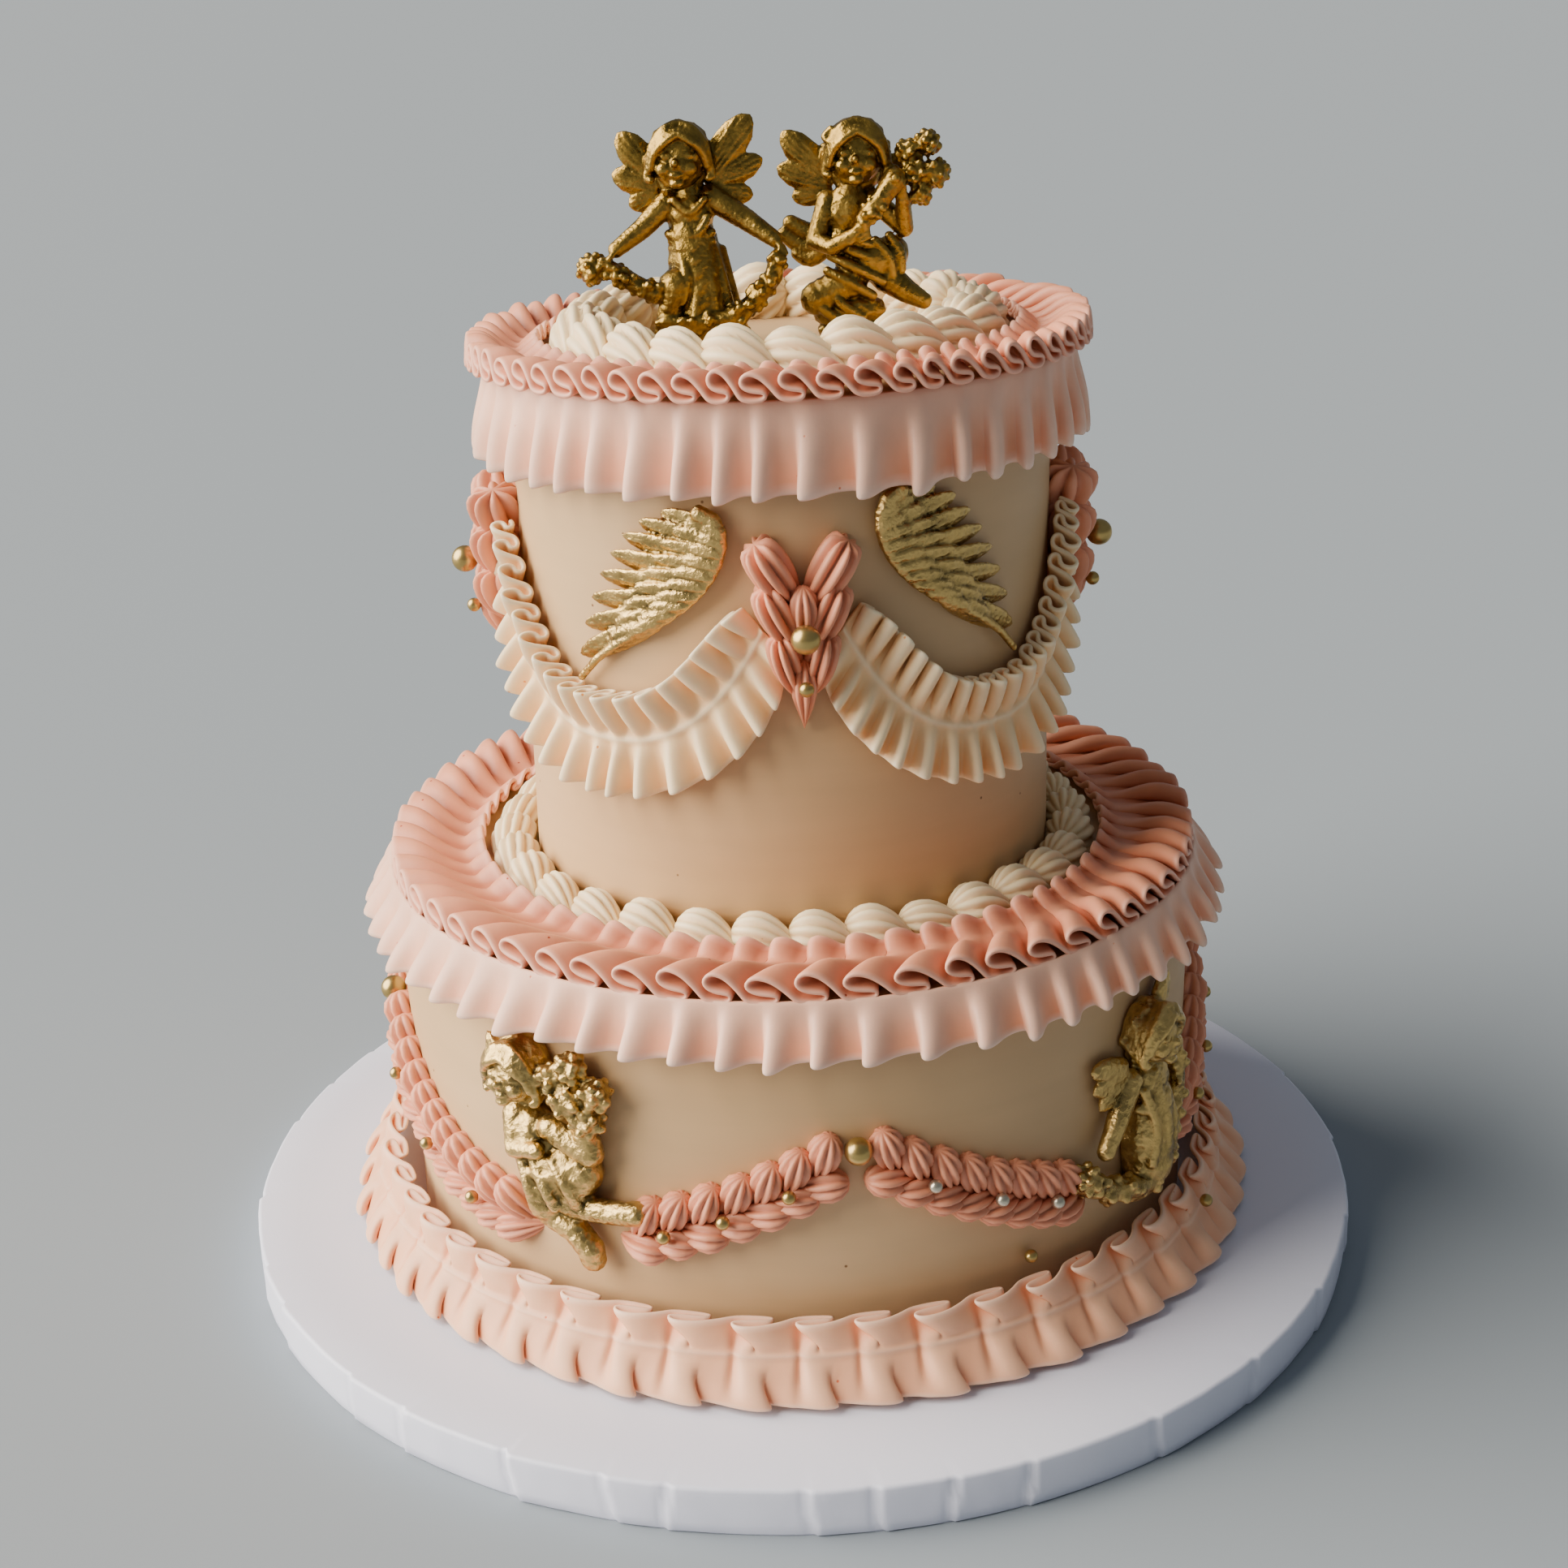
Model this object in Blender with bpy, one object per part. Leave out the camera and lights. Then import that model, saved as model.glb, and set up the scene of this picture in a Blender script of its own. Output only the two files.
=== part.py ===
"""Two-tier buttercream cake on its drum board, piped with ruffles, shells and garlands, with gilt cherubs.

Units are metres, +Z is up, and the origin is the centre of the board's underside. The shown front
faces -Y. An azimuth is in degrees round +Z from the front, growing towards +X.
"""
import math
import random

import bmesh
import bpy
from mathutils import Matrix, Vector

MM = 0.001
GAP = 0.3 * MM              # clearance between pieces that touch on the real cake

# Board and tiers: a 14 inch drum board, and tiers of 6 and 10 inches nominal with their coats
BOARD_RADIUS = 177.8 * MM
BOARD_HEIGHT = 15 * MM
LOWER_RADIUS = 124 * MM
LOWER_TOP = 131 * MM
UPPER_RADIUS = 79.7 * MM
UPPER_TOP = 285 * MM
TIER_EDGE = 2.5 * MM        # softened top edge of a coat

# The crown of the upper tier sits a little off level
CROWN_TILT_X = 0.018
CROWN_TILT_Y = -0.0175
TILT_STARTS = 250 * MM
TILT_FULL = 262 * MM

# Fold and shell counts of the piped rings
BASE_FOLDS = 50
COLLAR_FOLDS = 60
LOWER_SKIRT_FOLDS = 57
UPPER_SKIRT_FOLDS = 48
BORDER_SHELLS = 32
WREATH_SHELLS = 22

# Radii and heights of the piped rings
BASE_OUTER = 146.6 * MM
BASE_SPINE = (135 * MM, 28.8 * MM)
BASE_CREST = (129 * MM, 37 * MM)
LOWER_SKIRT_OUTER = 135.9 * MM
LOWER_SKIRT_BOTTOM = 116.4 * MM
LOWER_COLLAR = (96.2 * MM, 125.9 * MM)
UPPER_SKIRT_OUTER = 91.8 * MM
UPPER_SKIRT_BOTTOM = 259.5 * MM
UPPER_COLLAR = (68.6 * MM, 92 * MM)
COLLAR_HEIGHT = 9 * MM
BORDER_OUTER = 95.4 * MM
WREATH_INNER = 46 * MM
WREATH_OUTER = 70 * MM
SKIRT_SHEET = 1.8 * MM

# Hung trimmings: azimuths of the coral drops and of the garland peaks, a quarter turn apart
FIRST_DROP = 3
FIRST_PEAK = 7
SWAG_FOLDS = 15
SWAG_REACH = 35.5           # degrees from a swag's middle to each end
SWAG_LOW = 188 * MM
SWAG_RISE_FRONT = 30 * MM
SWAG_RISE_SIDE = 41 * MM
GARLAND_LOW = 52 * MM
GARLAND_RISE = 35 * MM
GARLAND_SHELLS = 7
DROP_TOP = 248 * MM
BIG_PEARL = 4 * MM
SMALL_PEARL = 2 * MM
BEND_GAP = 0.7 * MM         # clearance of a shape bent round a wall
BEND_SAG = 0.3 * MM         # most that one of its flat strips may dip towards the wall

CORAL = (0.71, 0.33, 0.24)
BLUSH = (0.86, 0.60, 0.50)
PEACH = (0.86, 0.55, 0.42)
CREAM = (0.90, 0.82, 0.68)
BEIGE = (0.68, 0.56, 0.43)
GILT = (0.55, 0.40, 0.13)


def clear_scene():
    for obj in list(bpy.data.objects):
        bpy.data.objects.remove(obj, do_unlink=True)


def finish_of(name, colour, roughness=0.55, metallic=0.0):
    """A plain Principled finish, made once for each name."""
    found = bpy.data.materials.get(name)
    if found:
        return found
    made = bpy.data.materials.new(name)
    made.use_nodes = True
    shader = made.node_tree.nodes["Principled BSDF"]
    shader.inputs["Base Color"].default_value = (*colour, 1)
    shader.inputs["Roughness"].default_value = roughness
    shader.inputs["Metallic"].default_value = metallic
    return made


def face_outwards(bm):
    bmesh.ops.recalc_face_normals(bm, faces=bm.faces)
    if bm.calc_volume(signed=True) < 0:
        bmesh.ops.reverse_faces(bm, faces=bm.faces)


def put_in_scene(bm, name, finish):
    """Turn a bmesh into the named object, with its faces outwards."""
    face_outwards(bm)
    mesh = bpy.data.meshes.new(name)
    bm.to_mesh(mesh)
    bm.free()
    mesh.shade_smooth()
    mesh.set_sharp_from_angle(angle=math.radians(50))
    mesh.materials.append(finish)
    obj = bpy.data.objects.new(name, mesh)
    bpy.context.scene.collection.objects.link(obj)
    return obj


def on_cake(azimuth, radius, height):
    """The point at an azimuth, radius and height, with the crown's tilt."""
    turn = math.radians(azimuth)
    x = radius * math.sin(turn)
    y = -radius * math.cos(turn)
    share = min(max((height - TILT_STARTS) / (TILT_FULL - TILT_STARTS), 0), 1)
    return Vector((x, y, height + share * (CROWN_TILT_X * x + CROWN_TILT_Y * y)))


def tilt_crown(bm):
    for vert in bm.verts:
        azimuth = math.degrees(math.atan2(vert.co.x, -vert.co.y))
        vert.co = on_cake(azimuth, vert.co.xy.length, vert.co.z)


def uneven_marks(count, seed, spread=0.12):
    """Marks from 0 to 1 that part a length into hand-piped folds of slightly unequal width."""
    rng = random.Random(seed)
    widths = [1 + rng.uniform(-spread, spread) for _ in range(count)]
    marks = [0.0]
    for width in widths:
        marks.append(marks[-1] + width / sum(widths))
    return marks


def piped(corners, steps, place, closed=True):
    """Spin a ring of section corners round Z, then put corner i of step j at place(i, j)."""
    turn = 2 * math.pi if closed else math.pi
    bm = bmesh.new()
    upright = Matrix.Translation((1, 0, 0)) @ Matrix.Rotation(math.pi / 2, 4, "X")
    bmesh.ops.create_circle(bm, segments=corners, radius=0.1, matrix=upright)
    bmesh.ops.spin(bm, geom=bm.verts[:] + bm.edges[:], cent=(0, 0, 0), axis=(0, 0, 1),
                   angle=turn, steps=steps, use_merge=closed)
    if not closed:
        bmesh.ops.holes_fill(bm, edges=bm.edges[:], sides=0)
    for vert in bm.verts:
        around = math.atan2(vert.co.y, vert.co.x)
        if around < -0.001:
            around += 2 * math.pi
        section = math.atan2(vert.co.z, vert.co.xy.length - 1) / (2 * math.pi) - 0.25
        step = round(around / turn * steps)
        vert.co = place(round(section * corners) % corners, step % steps if closed else step)
    return bm


def along_fold(marks, step, steps_in_fold, share):
    """Where a share of the fold that holds this step lies between 0 and 1 of the whole length."""
    fold = min(step // steps_in_fold, len(marks) - 2)
    return marks[fold] + share * (marks[fold + 1] - marks[fold])


def disc(radius, bottom, top, sides, softened):
    bm = bmesh.new()
    middle = Matrix.Translation((0, 0, (bottom + top) / 2))
    bmesh.ops.create_cone(bm, cap_ends=True, segments=sides, radius1=radius, radius2=radius,
                          depth=top - bottom, matrix=middle)
    if softened:
        rim = [edge for edge in bm.edges if all(v.co.z > top - GAP for v in edge.verts)]
        bmesh.ops.bevel(bm, geom=rim, offset=softened, segments=1, profile=0.5, affect="EDGES",
                        material=-1)
    return bm


def board_and_tiers():
    put_in_scene(disc(BOARD_RADIUS, 0, BOARD_HEIGHT, 64, 0), "board",
                 finish_of("paper_wrapped_board", (0.83, 0.83, 0.87), 0.45))
    put_in_scene(disc(LOWER_RADIUS, BOARD_HEIGHT + GAP, LOWER_TOP, 48, TIER_EDGE), "lower_tier",
                 finish_of("smooth_buttercream", BEIGE))
    upper = disc(UPPER_RADIUS, LOWER_TOP + GAP, UPPER_TOP, 48, TIER_EDGE)
    tilt_crown(upper)
    put_in_scene(upper, "upper_tier", finish_of("smooth_buttercream", BEIGE))


def base_ruffle():
    """Double ruffle on the board: a flared lower row, a pinched spine and an upright top row."""
    marks = uneven_marks(BASE_FOLDS, 11)
    foot = BOARD_HEIGHT + GAP
    back = LOWER_RADIUS + 0.5 * MM

    def place(corner, step):
        swell = step % 2            # 0 at the pinch between folds, 1 on the pillow of the fold
        turn = 360 * along_fold(marks, step, 2, 0.05 + 0.30 * swell)
        section = (
            (BASE_OUTER - 3 * MM * (1 - swell), foot),
            (BASE_OUTER - 5.5 * MM + 2 * MM * swell, 23.5 * MM + 2 * MM * swell),
            BASE_SPINE,
            (BASE_CREST[0] - 1.5 * MM * (1 - swell), BASE_CREST[1] - 2.5 * MM * (1 - swell)),
            (back, foot),
        )
        return on_cake(turn, *section[corner])

    put_in_scene(piped(5, 2 * BASE_FOLDS, place), "base_ruffle", finish_of("peach_buttercream", PEACH))


def skirt(name, folds, wall, top_radius, outer, top, bottom, seed):
    """Sheet that hangs from a tier's edge: flat at the top, pleated at its hem, hollow behind."""
    marks = uneven_marks(folds, seed)
    depth = random.Random(seed + 1)
    flare = [outer - depth.uniform(0, 1.2) * MM for _ in range(folds)]
    sway = 5 * MM

    def place(corner, step):
        crest = 1 - step % 2        # the crest is narrow, the valley wide
        turn = 360 * along_fold(marks, step, 2, 0.40 if crest else 0.74)
        hem = flare[step // 2] - sway * (1 - crest)
        section = (
            (wall + 0.4 * MM, top),
            (top_radius, top),
            (hem, bottom),
            (hem - SKIRT_SHEET, bottom + 0.2 * MM),
        )
        return on_cake(turn, *section[corner])

    put_in_scene(piped(4, 2 * folds, place), name, finish_of("blush_buttercream", BLUSH))


# Corners of one folded lip across its pitch, as share of the pitch and height: valley, tip and back
LIP = ((0.28, 0.0), (0.17, 1.0), (0.62, 0.78))


def collar(name, radii, floor, seed):
    """Flat ruffle on a tier's rim, whose folds stand up and lean over to the left at the edge."""
    marks = uneven_marks(COLLAR_FOLDS, seed)
    rng = random.Random(seed + 1)
    lift = [rng.uniform(0.82, 1.0) for _ in range(COLLAR_FOLDS)]
    inner, outer = radii

    def place(corner, step):
        share, height = LIP[step % 3]
        height *= lift[step // 3]
        if corner == 0:             # the inner edge trails one pitch to the right of the lip
            share += 0.9
        turn = 360 * along_fold(marks, step, 3, share)
        section = (
            (inner, floor + 1.0 * MM),
            (outer - 0.8 * MM * (1 - height), floor + 2.2 * MM + (COLLAR_HEIGHT - 2.2 * MM) * height),
            (outer - 1.2 * MM * (1 - height), floor + 2.6 * MM * height),
        )
        return on_cake(turn, *section[corner])

    put_in_scene(piped(3, 3 * COLLAR_FOLDS, place), name, finish_of("coral_buttercream", CORAL))


def shell_border():
    """Row of shells round the foot of the upper tier, each fat at its head and pinched at its tail."""
    marks = uneven_marks(BORDER_SHELLS, 31, 0.08)
    floor = LOWER_TOP + GAP
    wall = UPPER_RADIUS + 0.4 * MM
    swell = (0.0, 0.85, 1.0)

    def place(corner, step):
        full = swell[step % 3]
        turn = 360 * along_fold(marks, step, 3, (0.02, 0.30, 0.68)[step % 3])
        section = (
            (wall, floor + (5 + 3 * full) * MM),
            (wall + (7 + 2 * full) * MM, floor + (6.5 + 5 * full) * MM),
            (BORDER_OUTER - 3.2 * MM * (1 - full), floor),
            (wall, floor),
        )
        return on_cake(turn, *section[corner])

    put_in_scene(piped(4, 3 * BORDER_SHELLS, place), "shell_border", finish_of("cream_buttercream", CREAM))


def top_wreath():
    """Rope of long slanting shells on the crown, with the open middle that the cherubs stand in."""
    marks = uneven_marks(WREATH_SHELLS, 41, 0.10)
    floor = UPPER_TOP + GAP
    swell = (0.0, 0.9, 1.0)

    def place(corner, step):
        full = swell[step % 3]
        slant = 0.45 if corner == 3 else 0.0
        turn = 360 * along_fold(marks, step, 3, (0.0, 0.30, 0.66)[step % 3] + slant)
        section = (
            (57.5 * MM, floor + (12.5 + 5.2 * full) * MM),
            (WREATH_OUTER - 2.6 * MM * (1 - full), floor + (8 + 1.2 * full) * MM),
            (66 * MM, floor),
            (WREATH_INNER + 1.5 * MM * (1 - full), floor),
        )
        return on_cake(turn, *section[corner])

    put_in_scene(piped(4, 3 * WREATH_SHELLS, place), "top_wreath", finish_of("cream_buttercream", CREAM))


def hung(corners, steps, radius, azimuth_at, height_at, section):
    """Piped strip that hangs on a wall: corner i of step j lies off the path by section(i, j)."""
    nudge = 0.05

    def place(corner, step):
        azimuth = azimuth_at(step)
        across, out = section(corner, step)
        rise = (height_at(azimuth + nudge) - height_at(azimuth - nudge)) / (2 * math.radians(nudge) * radius)
        lean = math.atan(rise)
        azimuth_off = math.degrees(-across * math.sin(lean) / radius)
        return on_cake(azimuth + azimuth_off, radius + out, height_at(azimuth) + across * math.cos(lean))

    return piped(corners, steps, place, closed=False)


def swag(number, middle, rise_left, rise_right):
    """Ivory double ruffle on the upper wall: thin folds above and pleats below a spine cord."""
    marks = uneven_marks(SWAG_FOLDS, 60 + number)
    steps = 2 * SWAG_FOLDS

    def azimuth_at(step):
        share = 1.0 if step == steps else along_fold(marks, step, 2, 0.0 if step % 2 == 0 else 0.38)
        return middle + SWAG_REACH * (2 * share - 1)

    def height_at(azimuth):
        away = (azimuth - middle) / SWAG_REACH
        rise = rise_left if away < 0 else rise_right
        bend = 3.0 if rise == SWAG_RISE_FRONT else 1.9
        return SWAG_LOW + rise * abs(away) ** bend

    def section(corner, step):
        away = abs(2 * step / steps - 1)
        slim = 1 - 0.75 * away ** 6
        crest = step % 2
        return (
            (14 * MM * slim, (2.3 + 5.4 * crest * slim) * MM),
            (0, 4.2 * MM),
            (-15.5 * MM * slim, (2.1 + 4.6 * crest * slim) * MM),
            (0, 0.5 * MM),
        )[corner]

    strip = hung(4, steps, UPPER_RADIUS, azimuth_at, height_at, section)
    put_in_scene(strip, "swag_%d" % number, finish_of("ivory_buttercream", CREAM))


def garland_height(azimuth):
    """Height of the garland's middle: peaks a quarter turn apart, low at the reliefs between them."""
    from_peak = abs((azimuth - FIRST_PEAK + 45) % 90 - 45)
    return GARLAND_LOW + GARLAND_RISE * ((45 - from_peak) / 45) ** 1.7


def joined(base, extras, name):
    """Union of one closed shape with a collection of others, as a single body."""
    group = bpy.data.collections.new(name + "_extras")
    bpy.context.scene.collection.children.link(group)
    for index, extra in enumerate(extras):
        mesh = bpy.data.meshes.new("%s_extra_%d" % (name, index))
        face_outwards(extra)
        extra.to_mesh(mesh)
        extra.free()
        group.objects.link(bpy.data.objects.new(mesh.name, mesh))
    union = base.modifiers.new("union", "BOOLEAN")
    union.operation = "UNION"
    union.operand_type = "COLLECTION"
    union.collection = group
    union.solver = "EXACT"
    whole = bpy.data.meshes.new_from_object(base.evaluated_get(bpy.context.evaluated_depsgraph_get()))
    base.modifiers.clear()
    base.data = whole
    for obj in list(group.objects):
        bpy.data.objects.remove(obj, do_unlink=True)
    bpy.data.collections.remove(group)
    return base


def pearl(centre, radius, segments=8):
    bm = bmesh.new()
    bmesh.ops.create_uvsphere(bm, u_segments=segments, v_segments=segments // 2, radius=radius,
                              matrix=Matrix.Translation(centre))
    return bm


def seed_pearl(centre):
    bm = bmesh.new()
    bmesh.ops.create_icosphere(bm, subdivisions=1, radius=SMALL_PEARL, matrix=Matrix.Translation(centre))
    return bm


def garland(number, start, end):
    """Half a coral garland: two rows of shells from a peak down to a relief, with three seed pearls."""
    marks = uneven_marks(GARLAND_SHELLS, 70 + number)
    steps = 2 * GARLAND_SHELLS

    def azimuth_at(step):
        share = 1.0 if step == steps else along_fold(marks, step, 2, 0.0 if step % 2 == 0 else 0.55)
        return start + (end - start) * share

    def section(corner, step):
        full = step % 2
        return (
            ((7.2 + 1.8 * full) * MM, 0.5 * MM),
            ((4.2 + 0.8 * full) * MM, (5.0 + 3.2 * full) * MM),
            (0, (3.6 + 1.2 * full) * MM),
            (-(4.2 + 0.8 * full) * MM, (5.0 + 3.2 * full) * MM),
            (-(7.2 + 1.8 * full) * MM, 0.5 * MM),
        )[corner]

    strip = hung(5, steps, LOWER_RADIUS, azimuth_at, garland_height, section)
    body = put_in_scene(strip, "garland_%d" % number, finish_of("coral_buttercream", CORAL))
    pearls = []
    for share in (0.22, 0.52, 0.80):
        azimuth = start + (end - start) * share
        pearls.append(seed_pearl(on_cake(azimuth, LOWER_RADIUS + 4.8 * MM, garland_height(azimuth))))
    joined(body, pearls, body.name)


def on_wall(bm, azimuth, height, radius):
    """Bend a flat shape, in millimetres with its back at y = 0 and its front at -y, round a wall."""
    left = min(vert.co.x for vert in bm.verts)
    right = max(vert.co.x for vert in bm.verts)
    strips = math.ceil((right - left) * MM / math.sqrt(8 * radius * BEND_SAG))
    for index in range(1, strips):
        line = (left + (right - left) * index / strips, 0, 0)
        geom = bm.verts[:] + bm.edges[:] + bm.faces[:]
        bmesh.ops.bisect_plane(bm, geom=geom, plane_co=line, plane_no=(1, 0, 0))
    bmesh.ops.triangulate(bm, faces=bm.faces[:])
    for vert in bm.verts:
        x, y, z = vert.co * MM
        vert.co = on_cake(azimuth + math.degrees(x / radius), radius + BEND_GAP - y, height + z)


def cut_back(bm, depth=0.0):
    """Flatten a shape at y = depth and close the cut."""
    geom = bm.verts[:] + bm.edges[:] + bm.faces[:]
    bmesh.ops.bisect_plane(bm, geom=geom, plane_co=(0, depth, 0), plane_no=(0, 1, 0), clear_outer=True)
    bmesh.ops.holes_fill(bm, edges=bm.edges[:], sides=0)


class Clay:
    """Overlapping lumps, in millimetres, that are melted into a single skin."""

    def __init__(self):
        self.bm = bmesh.new()

    def ball(self, centre, radii):
        where = Matrix.Translation(centre) @ Matrix.Diagonal((*radii, 1))
        bmesh.ops.create_icosphere(self.bm, subdivisions=2, radius=1, matrix=where)

    def limb(self, *stops):
        """Round limb through stops of x, y, z and radius."""
        for first, last in zip(stops, stops[1:]):
            span = Vector(last[:3]) - Vector(first[:3])
            count = max(2, math.ceil(span.length / (0.5 * min(first[3], last[3]))))
            for index in range(count + 1):
                share = index / count
                radius = first[3] + share * (last[3] - first[3])
                self.ball(Vector(first[:3]) + share * span, (radius,) * 3)

    def petal(self, root, tip, width, thick):
        """Flat lobe of a wing from root to tip."""
        root, tip = Vector(root), Vector(tip)
        axis = (tip - root).to_track_quat("Z", "Y").to_matrix().to_4x4()
        size = Matrix.Diagonal((width, thick, (tip - root).length / 2, 1))
        where = Matrix.Translation((root + tip) / 2) @ axis @ size
        bmesh.ops.create_icosphere(self.bm, subdivisions=2, radius=1, matrix=where)

    def melted(self, triangles, voxel=0.9, back=None, floor=None):
        """One closed skin, cut flat at the back or the floor, thinned to about this many triangles."""
        mesh = bpy.data.meshes.new("lumps")
        self.bm.to_mesh(mesh)
        self.bm.free()
        obj = bpy.data.objects.new("lumps", mesh)
        bpy.context.scene.collection.objects.link(obj)
        skin = obj.modifiers.new("skin", "REMESH")
        skin.mode = "VOXEL"
        skin.voxel_size = voxel
        bm = bmesh.new()
        bm.from_mesh(obj.evaluated_get(bpy.context.evaluated_depsgraph_get()).to_mesh())
        if back is not None:
            cut_back(bm, back)
        if floor is not None:
            geom = bm.verts[:] + bm.edges[:] + bm.faces[:]
            bmesh.ops.bisect_plane(bm, geom=geom, plane_co=(0, 0, floor), plane_no=(0, 0, -1),
                                   clear_outer=True)
            bmesh.ops.holes_fill(bm, edges=bm.edges[:], sides=0)
        bmesh.ops.triangulate(bm, faces=bm.faces[:])
        obj.modifiers.clear()
        bm.to_mesh(obj.data)
        thin = obj.modifiers.new("thin", "DECIMATE")
        thin.ratio = triangles / len(bm.faces)
        bm.clear()
        bm.from_mesh(obj.evaluated_get(bpy.context.evaluated_depsgraph_get()).to_mesh())
        bpy.data.objects.remove(obj, do_unlink=True)
        return bm


def kneeling_cherub():
    """Cherub on one knee, holding a rose rope out to both sides."""
    clay = Clay()
    clay.ball((-2.5, -1, 54.5), (9, 8.5, 9.8))
    clay.ball((-2.5, 0.5, 57.6), (9.7, 9, 7.4))
    clay.ball((6.2, 1, 49.5), (3.8, 4, 6))
    clay.ball((-11, 1, 49.5), (3.4, 4, 6))
    clay.ball((0, 0, 38), (7.6, 5.5, 8))
    clay.limb((0, 0, 31.5, 6.3), (1.5, 0, 22, 8.6), (2.6, 0, 9, 10.5))
    clay.limb((7.4, 0, 42, 3.6), (16, -3, 36, 3.2), (24.4, -7, 30.4, 2.6))
    clay.limb((-7.5, 0, 41, 3.4), (-14, -3, 35.4, 3), (-22, -6, 29.6, 2.6))
    clay.ball((-28.4, -6, 25), (4.8, 4.8, 4.8))
    clay.limb((-25, -7, 26, 3.0), (-17, -8, 21, 3.2), (-9, -8, 16.5, 3.2))
    clay.ball((-4.8, -6, 18.8), (5.6, 5.6, 5.6))
    clay.limb((-5, -7, 17, 4.6), (-8.5, -6, 6, 4))
    clay.ball((-10, -8, 3), (4, 5.5, 3.4))
    clay.ball((4, 0, 3.5), (14, 9, 5))
    clay.limb((0.5, -9, 10, 3.3), (10.9, -9, 10, 3.4), (17.5, -9, 14, 3.3), (23.4, -9, 21, 3.2),
              (24.6, -9, 27, 3))
    for tip in ((16.5, 5, 64), (19.5, 5, 52.5), (17, 5, 43.5)):
        clay.petal((3.5, 4, 46), tip, 4.2, 1.9)
    for tip in ((-19, 5, 60.5), (-21, 5, 50.5), (-16.5, 5, 42)):
        clay.petal((-7, 4, 46), tip, 4.0, 1.9)
    return clay


def bouquet_cherub():
    """Kneeling cherub that hugs a long bouquet, with a wind-blown sash."""
    clay = Clay()
    clay.ball((0.5, -1, 53), (9, 8.5, 10))
    clay.ball((0.5, 0.5, 56.2), (9.9, 9.2, 7.6))
    clay.ball((-8.6, 0, 47), (3.4, 4, 6))
    clay.ball((-2, 0, 36.3), (7.6, 5.6, 9))
    clay.limb((-8.4, 0, 39.6, 3.5), (-12.2, -3, 27.6, 3.2), (-0.4, -8, 31.9, 2.8))
    clay.limb((5.5, 0, 40, 3.5), (14.4, -1, 31.5, 3.2), (13.1, -6, 40.6, 2.8))
    clay.limb((1.3, -8, 35, 2.6), (10.9, -7, 47.2, 3.8))
    for x, z, radius in ((21, 54.2, 4), (23, 46, 4.5), (19.6, 40.8, 3.4), (15.4, 52.6, 3.4), (16.5, 46.5, 4.4)):
        clay.ball((x, -4, z), (radius,) * 3)
    clay.limb((-21, 3, 33, 2.2), (-13, 2, 25, 3.4))
    clay.ball((3, 0, 23.2), (10, 7, 7))
    clay.ball((10.3, 1, 24.5), (5.5, 6, 5.5))
    clay.limb((8.7, 0, 18, 5), (18.6, -2, 12, 2.9))
    clay.limb((-2.2, -2, 17, 6), (-11.5, -3, 13, 5.4))
    clay.ball((-2.2, -1, 8.7), (11.5, 7, 6))
    clay.ball((0, 0, 3.6), (12.5, 8, 4.6))
    for tip in ((-20, 5, 58.5), (-22, 5, 49.5), (-17.5, 5, 41)):
        clay.petal((-6, 4, 43), tip, 4.2, 1.9)
    clay.petal((6, 4, 43), (17, 6, 51), 4.0, 1.9)
    return clay


def kneeling_relief():
    """Flat-backed cherub with a rose rope, its middle at the origin."""
    clay = Clay()
    clay.ball((0, -4, 21.5), (10, 7.5, 10))
    clay.ball((1.5, -3.5, 25), (9.6, 7, 7.5))
    clay.petal((6, -2, 24), (15, -2, 37), 4.2, 2.4)
    for tip in ((-25, -2, 19), (-24, -2, 11.5), (-21, -2, 5)):
        clay.petal((-8, -2, 15), tip, 4.0, 2.4)
    clay.ball((1.5, -3, 7), (9, 6, 8.6))
    clay.limb((-8, -3, 10, 4.2), (-14.5, -3, 1.5, 3.7), (-21, -4, -7, 3.2), (-28.5, -4, -13.5, 5.4))
    clay.limb((9, -3, 11, 4.2), (17, -3, 12, 3.6), (18, -3, 5, 3.6), (16.7, -3, -4, 3.6),
              (13, -3, -14, 3.8), (8, -4, -21, 4))
    clay.limb((2, -3, 0, 8), (0.5, -3, -10, 9.6), (0, -4.5, -19, 8.6))
    clay.limb((-27, -4, -15, 3.6), (-19, -4, -20.5, 3.8), (-9, -4, -23, 4))
    clay.ball((-1, -2.5, -26.5), (12, 6, 5.5))
    return clay


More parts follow.
